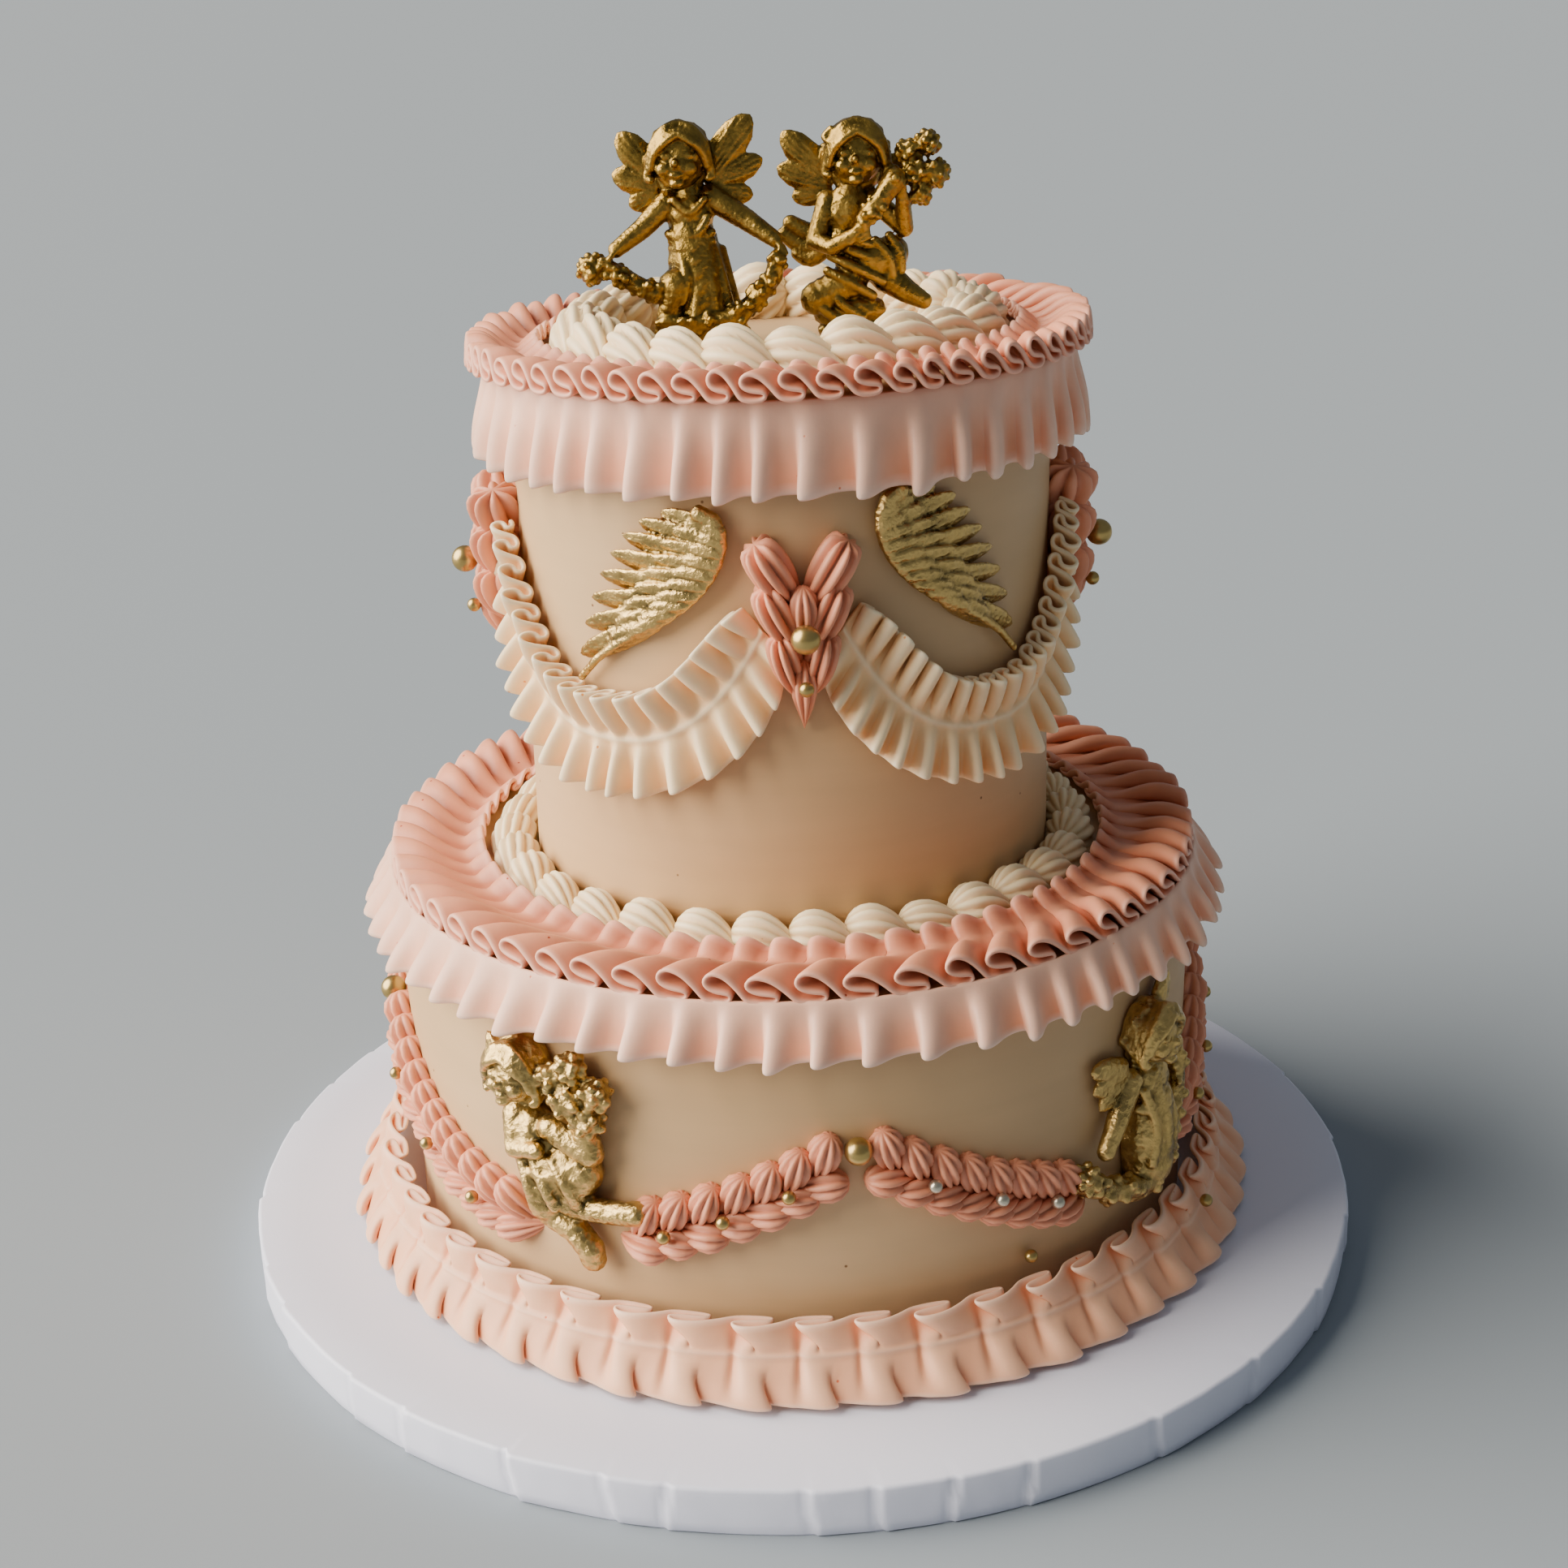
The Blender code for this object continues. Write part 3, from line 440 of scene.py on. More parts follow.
def coats():
    """Smooth coats of both tiers, with the slight waver that a hand-held scraper leaves."""
    levels, corner = 24, 2.5
    for name, radius, bottom, top in (("lower", LOWER_RADIUS, BOARD_TOP + 0.3, LOWER_TOP),
                                      ("upper", UPPER_RADIUS, LOWER_TOP + 0.3, UPPER_TOP)):
        profile = [(0, top), (radius * 0.6, top), (radius - 6, top)] + round_corner(radius, top, corner)
        profile += [(radius, top - corner - (top - corner - bottom) * level / levels)
                    for level in range(1, levels + 1)]
        bm = lathe(profile + [(0, bottom)], 192)
        depth = bm.verts.layers.float.new("depth")
        for vert in bm.verts:
            spot = vert.co / MM
            waver = noise.noise(Vector((spot.x, spot.y, spot.z * 1.6)) * 0.018) * 0.45
            vert[depth] = 1.0
            size = spot.xy.length
            if size > radius * 0.8:
                spot.xy *= 1 + (waver - 0.25) / size
            vert.co = at(math.degrees(math.atan2(spot.x, -spot.y)), spot.xy.length, spot.z)
        finish_piece(bm, name + "_coat", coat, name + "_tier")


# Ruffles


def base_ruffle():
    """Peach double ruffle: pillows that scroll open at the top and hook under at the hem."""
    folds = 50
    marks = Spacing(folds, 11)
    # Rows from the top edge over the spine cord to the hem: radius, height, bulge, share of the edge's shape
    rows = ((129.2, 37.4, 6.2, -1.0), (130.4, 35.6, 6.0, -0.86), (131.8, 33.4, 5.2, -0.55),
            (133.4, 31.2, 3.8, -0.28), (134.7, 29.6, 1.5, -0.10), (136.2, 28.9, 1.6, 0.0),
            (135.6, 27.9, 1.5, 0.06), (136.4, 25.6, 4.2, 0.22), (138.0, 22.8, 5.2, 0.45),
            (139.6, 20.2, 5.6, 0.72), (140.6, 18.2, 5.4, 0.90), (141.0, 16.9, 5.2, 1.0))

    def place(fold, t, row):
        radius, height, bulge, share = rows[row]
        edge = scroll_at(t) if share < 0 else hook_at(t)
        strength = abs(share) ** 1.3
        # Pillow between pinches: round at its left, slack at its right
        pillow = ease(t / 0.16) * (1 - 0.45 * ease((t - 0.2) / 0.7)) * (1 - ease((t - 0.93) / 0.07))
        out = pillow + (edge.y - pillow) * strength
        along = fold + t + (edge.x - t) * strength
        lift = 0.6 * (1 - out) if share < 0 else 0
        point = at(360 * marks.share(along) - 1.0, radius + bulge * out * marks.strength(fold) - 0.5,
                   height - lift)
        # Valleys between the pillows get a low depth and so painted shade; crests stay light
        return point, 0.25 + 0.75 * clamp(out), {1.0: 0.8, 0.0: 0.35}.get(abs(share), 0.0)

    bm = ruffle(folds, 16, len(rows), place)
    finish_piece(bm, "base_ruffle_piped", peach, sheet=True)


def skirt(name, folds, seed, top_radius, hem_radius, top, hem, pleat_depth):
    """Blush sheet that hangs from a tier's edge: smooth above, pleated towards its hem."""
    marks = Spacing(folds, seed, 0.24)
    rng = random.Random(seed + 7)
    drops = [rng.uniform(-1.5, 1.3) for _ in range(folds)]
    rows = (0.0, 0.16, 0.34, 0.52, 0.70, 0.86, 1.0)

    def place(fold, t, row):
        share = rows[row]
        edge = pleat_at(t)
        open_up = ease(share + 0.12) ** 1.1
        lean = 0.12 * edge.y * share
        along = fold + t + (edge.x - t) * share ** 0.7 - lean
        radius = top_radius + (hem_radius - pleat_depth - top_radius) * share ** 1.15
        radius += pleat_depth * edge.y * open_up * marks.strength(fold)
        height = top + (hem - top) * share
        height += drops[fold] * math.sin(math.pi * t) ** 2 * share - 0.8 * edge.y * share
        # Painted light and shade: crests light, pleat valleys dark, the smooth top nearly light
        painted_lighting = clamp(edge.y) * open_up + (1 - open_up) * 0.85
        return at(360 * marks.share(along), radius, height), 0.12 + 0.88 * painted_lighting, 0.7 if share == 1 else 0.0

    bm = ruffle(folds, 14, len(rows), place)
    finish_piece(bm, name, blush, sheet=True)


def collar(name, inner, outer, floor, seed):
    """Coral ruffle laid on a tier's rim: scrolled folds at the lip, a groove, and a narrow inner frill."""
    folds = 60
    marks = Spacing(folds, seed, 0.15)
    groove = inner + 6.5
    # Rows from the frill's edge over the groove to the lip: share of the scroll's shape, radius
    rows = [(-1.0, inner), (-0.55, inner + 2.4), (-0.2, inner + 4.8), (0.0, groove)]
    rows += [(share, groove + (outer - groove) * share)
             for share in (0.12, 0.28, 0.46, 0.64, 0.80, 0.92, 1.0)]

    def place(fold, t, row):
        share, radius = rows[row]
        edge = scroll_at(t)
        if share < 0:
            strength = 0.15 + 0.5 * -share
            height = floor + 2.2 + 2.0 * -share + (1.2 + 2.4 * -share) * edge.y
            radius -= 0.8 * edge.y * share
        else:
            strength = 0.15 + 0.85 * share ** 1.4
            crest = 2.4 + 5.6 * ease(share / 0.75) - 0.5 * ease((share - 0.75) / 0.25)
            height = floor + 1.0 + 0.8 * (1 - share)
            height += crest * edge.y * marks.strength(fold) * (0.35 + 0.65 * ease(share / 0.6))
            height += 1.6 * math.sin(math.pi * share) * (1 - edge.y)
            radius -= (1.0 + 0.8 * edge.y) * share
        sweep = (1 - max(share, 0)) ** 1.2 + 0.3 * min(share, 0) ** 2
        along = fold + t + (edge.x - t) * strength + sweep
        # Painted light and shade: crests light, valleys between the scrolls dark
        painted_lighting = 0.3 + 0.7 * clamp(edge.y)
        return at(360 * marks.share(along), radius, height), painted_lighting, 0.75 if abs(share) == 1 else 0.0

    bm = ruffle(folds, 16, len(rows), place)
    finish_piece(bm, name, coral, sheet=True)


# Star-piped shells


def shell(bm, where, length, width, height, ridges, segments, rings, twist, groove, tail, blunt=False):
    """Add one star-piped shell: fat at its head (-x), thin at its tail (+x), ridged along its length.

    Twist turns the ridges, groove is their depth and tail is how much it narrows. A blunt head is
    cut open, with its ridges standing out as points.
    """
    one = bmesh.new()
    depth = one.verts.layers.float.new("depth")
    along_x = Matrix.Rotation(math.pi / 2, 4, "Y")
    bmesh.ops.create_uvsphere(one, u_segments=segments, v_segments=rings, radius=1, matrix=along_x)
    for vert in one.verts:
        x, y, z = vert.co
        share = (x + 1) / 2
        turn = math.atan2(z, y)
        swell = math.hypot(y, z) ** (0.4 if blunt and share < 0.5 else 1) * (1 - tail * share ** 1.4)
        rib = abs(math.cos(ridges * turn / 2 + twist * share * ridges / 2)) ** 0.65
        swell *= 1 - groove * (1 - rib) * min(1, 6 * share * (1 - share) + (0.9 if blunt else 0.25))
        share -= 0.16 * rib * max(0, 1 - 3 * share) if blunt else 0
        sag = -0.30 * height * max(share, 0) ** 2
        vert.co = where @ Vector((length * (share - 0.4), width / 2 * swell * math.cos(turn),
                                  height * swell * math.sin(turn) + sag))
        # Grooves between the ridges are marked low, so the material paints shade into them
        vert[depth] = 0.2 + 0.8 * rib
    piped = bpy.data.meshes.new("shell")
    one.to_mesh(piped)
    one.free()
    bm.from_mesh(piped)
    bpy.data.meshes.remove(piped)


def on_path(azimuth, radius, height, turn, tip=0.0):
    """Frame at a spot on a wall: x turned from level by an angle, z outwards, scaled to metres."""
    out = Vector((math.sin(math.radians(azimuth)), -math.cos(math.radians(azimuth)), 0))
    level = Vector((math.cos(math.radians(azimuth)), math.sin(math.radians(azimuth)), 0))
    basis = Matrix((level, Vector((0, 0, 1)), out)).transposed().to_4x4()
    spin = Matrix.Rotation(math.radians(turn), 4, "Z") @ Matrix.Rotation(math.radians(tip), 4, "Y")
    return Matrix.Translation(at(azimuth, radius, height)) @ basis @ spin @ Matrix.Scale(MM, 4)


def lying(azimuth, radius, height, turn, tip=0.0):
    """Frame on a level rim: x along the rim turned by an angle, z upwards, scaled to metres."""
    basis = Matrix.Rotation(math.radians(azimuth + turn), 4, "Z")
    return (Matrix.Translation(at(azimuth, radius, height)) @ basis
            @ Matrix.Rotation(math.radians(tip), 4, "Y") @ Matrix.Scale(MM, 4))


def shell_ring(name, count, seed, spread, start, radius, height, turn, tip, size, rings, twist, tail):
    """Ring of cream shells on a level rim, heads to the left, each over the last one's tail."""
    marks = Spacing(count, seed, spread)
    bm = bmesh.new()
    length, width, thick = size
    for index in range(count):
        where = lying(360 * marks.share(index + start), radius, height, turn, tip)
        strength = marks.strength(index)
        shell(bm, where, length, width * strength, thick * strength, ridges=12, segments=60, rings=rings,
              twist=twist, groove=0.26, tail=tail)
    finish_piece(bm, name, cream)


# Hung trimmings


def swag_path(middle, rise_left, rise_right):
    """Height of a swag's spine at an azimuth, low in its middle and steeper towards the front drop."""
    def height_at(azimuth):
        away = (azimuth - middle) / 35.5
        rise = rise_left if away < 0 else rise_right
        return 188 + rise * min(abs(away), 1.1) ** (3.0 if rise == FRONT_RISE else 1.9)
    return height_at


def slope_at(height_at, azimuth, radius):
    """Angle of a wall path from level, in radians."""
    step = 0.05
    rise = height_at(azimuth + step) - height_at(azimuth - step)
    return math.atan(rise / (2 * math.radians(step) * radius))


def swag(number, middle, rise_left, rise_right, folds, tubes):
    """Ivory double ruffle: waves above and pleats below a spine cord, evenly spaced along it."""
    marks = Spacing(folds, 60 + number, 0.24)
    height_at = swag_path(middle, rise_left, rise_right)
    azimuths = [middle + SWAG_REACH * (index / 60 - 1) for index in range(121)]
    walked = [0.0]
    for first, last in zip(azimuths, azimuths[1:]):
        walked.append(walked[-1] + math.hypot(math.radians(last - first) * UPPER_RADIUS,
                                              height_at(last) - height_at(first)))
    # Rows from the waves' edge over the spine to the pleats' edge: way off the spine, share of the shape
    rows = ((14.0, 1.0), (12.6, 0.92), (9.6, 0.74), (6.2, 0.5), (3.0, 0.22), (1.2, 0.05), (0.0, 0.0),
            (-1.2, -0.05), (-3.4, -0.22), (-7.0, -0.48), (-10.8, -0.74), (-14.2, -0.93), (-15.8, -1.0))

    def place(fold, t, row):
        across, share = rows[row]
        edge = scroll_at(t) if share >= 0 else pleat_at(t)
        strength = abs(share) ** 1.1 * (0.95 if tubes else 0.75)
        along = min(max(marks.share(fold + t * 0.999) * folds + (edge.x - t) * strength, 0), folds - 0.001)
        reach = along / folds
        azimuth = float(np.interp(reach * walked[-1], walked, azimuths))
        taper = 1 - 0.4 * abs(2 * reach - 1) ** 9
        lean = 0.62 * slope_at(height_at, azimuth, UPPER_RADIUS)
        bulge = 8.4 if share > 0 else 7.0
        out = 2.2 + (1.8 if share == 0 else 0.4)
        out += abs(share) ** 0.75 * bulge * edge.y * taper * marks.strength(fold)
        off = across * taper
        spot = at(azimuth + math.degrees(-off * math.sin(lean) / UPPER_RADIUS), UPPER_RADIUS + out,
                  height_at(azimuth) + off * math.cos(lean))
        # Painted light and shade: crests and the spine light, valleys between the folds dark
        painted_lighting = 0.15 + 0.85 * clamp(edge.y) * abs(share) ** 0.5 + 0.3 * (1 - abs(share))
        return spot, painted_lighting, {1.0: 0.7, 0.0: 0.5}.get(abs(share), 0.0)

    bm = ruffle(folds, 14, len(rows), place, closed=False)
    finish_piece(bm, "swag_%d_piped" % number, ivory, sheet=True)


def garland_height(azimuth):
    """Middle of the garland: peaks a quarter turn apart, low at the reliefs between them."""
    from_peak = abs((azimuth - PEAK_AZIMUTH + 45) % 90 - 45)
    return 52 + 35 * ((45 - from_peak) / 45) ** 1.7


def garland(number, start, end):
    """Half a coral garland: pairs of shells whose heads point up to the peak, and three seed pearls."""
    count = max(5, round(abs(end - start) * LOWER_RADIUS * math.pi / 180 / 8.2))
    marks = Spacing(count, 70 + number, 0.10)
    bm = bmesh.new()
    way = 1 if end > start else -1
    for index in range(count):
        azimuth = start + (end - start) * marks.share(index + 0.5)
        lean = math.degrees(slope_at(garland_height, azimuth, LOWER_RADIUS))
        for side, splay in ((1, 44), (-1, 20)):
            turn = lean + (0 if way > 0 else 180) - side * splay * way
            centre = garland_height(azimuth) + side * 4.7
            where = on_path(azimuth - way * 0.4, LOWER_RADIUS + 1.6, centre, turn, 8)
            shell(bm, where, 17.5, 12.6, 8.0 * marks.strength(index), ridges=9, segments=45, rings=8,
                  twist=0.3, groove=0.42, tail=0.62)
    finish_piece(bm, "garland_%d_piped" % number, coral)
    azimuths = [start + (end - start) * share for share in (0.22, 0.52, 0.80)]
    pearl_piece("garland_%d_pearls" % number,
                [(azimuth, LOWER_RADIUS + 7.4, garland_height(azimuth), SMALL_PEARL) for azimuth in azimuths],
                pale_pearl if number == 2 else gold_pearl, "")


def drop(number, azimuth):
    """Coral drop where two swags meet: fanned pairs of shells down to a pointed tail."""
    bm = bmesh.new()
    # Pairs from the top: height, sideways, splay, length, width
    for height, aside, splay, length, width in ((238, 6.2, 30, 22, 15), (226, 5.2, 24, 21, 14),
                                                (213, 3.8, 15, 19, 12)):
        for side in (-1, 1):
            spot = azimuth + math.degrees(side * aside / UPPER_RADIUS)
            where = on_path(spot, UPPER_RADIUS + 4.6, height, -90 - side * splay, 9)
            shell(bm, where, length, width * 0.94, 10.6, ridges=8, segments=56, rings=14,
                  twist=0.2, groove=0.5, tail=0.72, blunt=True)
    # The shell in the middle, and the tail
    where = on_path(azimuth, UPPER_RADIUS + 7.6, 229, -90, 8)
    shell(bm, where, 20, 11, 8.4, ridges=9, segments=54, rings=12, twist=0.2, groove=0.4, tail=0.7)
    where = on_path(azimuth, UPPER_RADIUS + 5.4, 207, -90, 6)
    shell(bm, where, 22, 10.5, 9.6, ridges=8, segments=48, rings=12, twist=0.2, groove=0.4, tail=0.92)
    finish_piece(bm, "drop_%d_piped" % number, coral)


def pearl_piece(name, spots, material=None, node=None):
    """Piece of round pearls, each given by its azimuth, radius, height and own radius."""
    bm = bmesh.new()
    depth = bm.verts.layers.float.new("depth")
    for *spot, size in spots:
        bmesh.ops.create_uvsphere(bm, u_segments=24, v_segments=14, radius=size * MM,
                                  matrix=Matrix.Translation(at(*spot)))
    for vert in bm.verts:
        vert[depth] = 1.0
    finish_piece(bm, name, material or gold_pearl, node)


def pearls():
    """Big pearls on the drops and garland peaks, a small one on each drop's tail, and two strays."""
    for quarter in range(4):
        azimuth = DROP_AZIMUTH + 90 * quarter
        pearl_piece("drop_pearl_%d_round" % (quarter + 1),
                    [(azimuth, UPPER_RADIUS + 16.3, 224.5, BIG_PEARL),
                     (azimuth, UPPER_RADIUS + 14.6, 210.0, 2.1)])
        pearl_piece("peak_pearl_%d_round" % (quarter + 1),
                    [(PEAK_AZIMUTH + 90 * quarter, LOWER_RADIUS + 4.3, 88, BIG_PEARL)])
    for number, spot in enumerate(((31, 126.6, 41.5), (62, 139.5, 32.5)), 1):
        pearl_piece("stray_pearl_%d_round" % number, [(*spot, SMALL_PEARL)])


# Gilt figures


class Clay:
    """Overlapping lumps in millimetres, front towards -y, that are melted into a single skin."""

    def __init__(self, seed, sink):
        self.lumps = []
        self.sink = sink
        self.rng = random.Random(seed)

    def ball(self, centre, radii):
        """Ball, or an egg with a radius along each axis."""
        radii = radii if isinstance(radii, (tuple, list)) else (radii,) * 3
        self.lumps.append(Matrix.Translation(centre) @ Matrix.Diagonal((*radii, 1)))

    def lens(self, root, tip, width, thick, face=(0, -1, 0)):
        """Ball stretched from root to tip, width across and thick towards its face."""
        root, tip = Vector(root), Vector(tip)
        along = (tip - root).normalized()
        face = (Vector(face) - Vector(face).dot(along) * along).normalized()
        turn = Matrix((face.cross(along), face, along)).transposed().to_4x4()
        size = Matrix.Diagonal((width, thick, (tip - root).length / 2, 1))
        self.lumps.append(Matrix.Translation((root + tip) / 2) @ turn @ size)

    def limb(self, *stops):
        """Round limb through stops of x, y, z and radius."""
        for first, last in zip(stops, stops[1:]):
            span = Vector(last[:3]) - Vector(first[:3])
            count = max(1, math.ceil(span.length / (0.6 * min(first[3], last[3]))))
            for index in range(count + 1):
                share = index / count
                self.ball(Vector(first[:3]) + share * span, first[3] + share * (last[3] - first[3]))

    def strand(self, *stops):
        """Thin smooth strand, such as a lock of hair or a fold of cloth, through stops."""
        for index in range(len(stops) - 1):
            first, last = Vector(stops[index]), Vector(stops[index + 1])
            before = Vector(stops[max(index - 1, 0)])
            after = Vector(stops[min(index + 2, len(stops) - 1)])
            count = max(2, math.ceil((last - first).xyz.length / (0.7 * min(first.w, last.w))))
            for step in range(count):
                t = step / count
                bend = (2 * before - 5 * first + 4 * last - after) * t ** 2
                twist = (3 * first - before - 3 * last + after) * t ** 3
                spot = 0.5 * (2 * first + (last - before) * t + bend + twist)
                self.ball(spot.xyz, max(spot.w, 0.35))

    def fold(self, *stops):
        """Soft ridge of cloth, half sunk into the body."""
        self.strand(*[(x, y + self.sink, z, 1.4 * radius) for x, y, z, radius in stops])

    def feather(self, root, tip, width, thick, ribs=0, shingle=0.0):
        """Flat lobe of a wing from root to tip, with raised barbs along it."""
        root, tip = Vector(root), Vector(tip)
        along = tip - root
        side = Vector((0, -1, 0)).cross(along).normalized()
        self.lens(root, tip, width, thick, Vector((0, -1, 0)) + shingle * side)
        for rib in range(ribs):
            across = ((rib + 0.5) / ribs - 0.5) * 1.5 * width
            first = root + side * across * 0.5 + along * 0.1 - Vector((0, thick * 0.8, 0))
            last = root + side * across + along * (0.95 - 0.15 * abs(across) / width)
            last -= Vector((0, thick * 0.6, 0))
            self.lens(first, last, 0.5, 0.6)

    def roses(self, centre, radius, count, petal):
        """Knob of small petals all over a ball."""
        self.ball(centre, radius * 0.86)
        for index in range(count):
            height = 1 - 2 * (index + 0.5) / count
            turn = index * 2.4 + self.rng.uniform(-0.3, 0.3)
            ring = math.sqrt(1 - height * height)
            way = Vector((ring * math.cos(turn), ring * math.sin(turn), height))
            self.ball(Vector(centre) + way * radius * 0.84, petal * self.rng.uniform(0.75, 1.15))

    def rose_rope(self, *stops):
        """Rope of small roses and leaves through stops of x, y, z and radius."""
        for first, last in zip(stops, stops[1:]):
            span = Vector(last[:3]) - Vector(first[:3])
            count = max(2, math.ceil(span.length / 1.5))
            for index in range(count):
                share = index / count
                spot = Vector(first[:3]) + share * span
                radius = first[3] + share * (last[3] - first[3])
                self.ball(spot, radius * 0.85)
                for _ in range(3):
                    way = Vector([self.rng.gauss(0, 1) for _ in range(3)]).normalized()
                    self.ball(spot + way * radius * 0.88, radius * self.rng.uniform(0.3, 0.48))

    def lump_mesh(self):
        """All lumps in one mesh, each a copy of one small ball."""
        unit = bmesh.new()
        bmesh.ops.create_icosphere(unit, subdivisions=2, radius=1)
        spots = np.array([vert.co for vert in unit.verts])
        faces = np.array([[vert.index for vert in face.verts] for face in unit.faces])
        unit.free()
        turns = [(np.array(lump.to_3x3()), np.array(lump.translation)) for lump in self.lumps]
        mesh = bpy.data.meshes.new("lumps")
        mesh.from_pydata(np.concatenate([spots @ turn.T + place for turn, place in turns]), [],
                         np.concatenate([faces + index * len(spots) for index in range(len(turns))]))
        return mesh

    def melted(self, voxel, crumple, spacing, cut, dents=()):
        """One closed skin, cut flat through the origin, dented, crumpled, with its hollows marked."""
        obj = put("lumps", self.lump_mesh())
        skin = obj.modifiers.new("skin", "REMESH")
        skin.mode = "VOXEL"
        skin.voxel_size = voxel * 1
        bm = bmesh.new()
        bm.from_mesh(obj.evaluated_get(bpy.context.evaluated_depsgraph_get()).to_mesh())
        bpy.data.objects.remove(obj, do_unlink=True)
        geom = bm.verts[:] + bm.edges[:] + bm.faces[:]
        bmesh.ops.bisect_plane(bm, geom=geom, plane_co=(0, 0, 0), plane_no=cut, clear_outer=True)
        bmesh.ops.holes_fill(bm, edges=[edge for edge in bm.edges if edge.is_boundary], sides=0)
        bmesh.ops.smooth_vert(bm, verts=bm.verts, factor=0.5, use_axis_x=True, use_axis_y=True,
                              use_axis_z=True)
        bm.normal_update()
        for vert in bm.verts:
            for centre, radius, amount in dents:
                near = 1 - (vert.co - Vector(centre)).length / radius
                if near > 0:
                    vert.co.y += amount * ease(near)
            ridge = 1 - 2 * abs(noise.noise(vert.co / spacing))
            ridge += 0.5 * (1 - 2 * abs(noise.noise(vert.co / spacing * 2.3 + Vector((9, 4, 7)))))
            vert.co += vert.normal * crumple * (ridge - 1.0)
        mark_hollows(bm)
        return bm


def mark_hollows(bm):
    """Store each vertex's depth, 0 in a hollow and 1 on a ridge, by how far it lies from those around it."""
    bm.normal_update()
    depth = bm.verts.layers.float.new("depth")
    for vert in bm.verts:
        ways = [edge.other_vert(vert).co - vert.co for edge in vert.link_edges]
        vert[depth] = sum(way.normalized().dot(vert.normal) for way in ways) / max(len(ways), 1)
    for _ in range(2):
        blurred = [(vert[depth] + sum(edge.other_vert(vert)[depth] for edge in vert.link_edges))
                   / (1 + len(vert.link_edges)) for vert in bm.verts]
        for vert, value in zip(bm.verts, blurred):
            vert[depth] = value
    for vert in bm.verts:
        vert[depth] = clamp(0.5 - 3.0 * vert[depth])


def cherub_head(clay, centre, face_way):
    """Round child's head with full cheeks, a small nose and a chin; face_way turns it a little."""
    x, y, z = centre
    clay.ball((x, y, z), (8.2, 7.8, 9.2))
    clay.ball((x + face_way * 0.6, y - 1.8, z - 2.4), (7.4, 6.5, 6.6))
    for side in (-1, 1):
        clay.ball((x + face_way + side * 3.4, y - 5.6, z - 3.0), (2.7, 2.5, 2.5))
        clay.ball((x + face_way + side * 3.0, y - 6.9, z + 0.5), (1.5, 1.0, 1.0))
    clay.ball((x + face_way * 1.5, y - 8.4, z - 1.2), (1.05, 1.3, 1.3))
    clay.ball((x + face_way * 1.3, y - 7.5, z - 4.7), (1.9, 1.2, 0.75))
    clay.ball((x + face_way * 1.2, y - 6.4, z - 7.0), (2.3, 2.0, 1.6))


def hair(clay, centre, reach, curl):
    """Parted hair: locks hug the head from the crown down both sides and curl in below the cheeks."""
    x, y, z = centre
    clay.ball((x, y + 3.0, z - 6.0), (7.4, 4.6, 6.4))
    for side in (-1, 1):
        for row in range(4):
            clay.strand((x + side * 0.5, y - 3.6 - 1.2 * row, z + 9.4 - 1.0 * row, 1.2),
                        (x + side * 4.0, y - 5.2 - 0.8 * row, z + 7.9 - 1.2 * row, 1.25),
                        (x + side * 6.8, y - 4.6 - 0.5 * row, z + 4.4 - 1.1 * row, 1.2),
                        (x + side * 8.1, y - 3.9 - 0.3 * row, z - 0.4 - 0.9 * row, 1.1))
        for row in range(7):
            back = row * 2.2
            thick = 1.5 - 0.04 * row
            low = z - reach + 1.1 * row
            clay.strand((x + side * 0.6, y - 4.4 + back, z + 9.0 - 0.1 * row * row, thick * 0.9),
                        (x + side * 4.2, y - 5.0 + back * 0.95, z + 7.4 - 0.1 * row, thick),
                        (x + side * 7.2, y - 4.6 + back * 0.9, z + 3.2, thick),
                        (x + side * 8.2, y - 3.8 + back * 0.8, z - 1.6, thick),
                        (x + side * (8.2 + curl), y - 3.4 + back * 0.7, low, thick * 0.95),
                        (x + side * (6.8 + curl), y - 4.6 + back * 0.7, low - 0.6, thick * 0.75))


def eye_dents(centre, face_way):
    """Dents for both eyes and the mouth: centre, radius and depth."""
    x, y, z = centre
    eyes = [((x + face_way + side * 3.1, y - 8.2, z + 0.4), 2.3, 0.75) for side in (-1, 1)]
    return eyes + [((x + face_way * 1.3, y - 8.6, z - 4.7), 1.2, 0.35)]


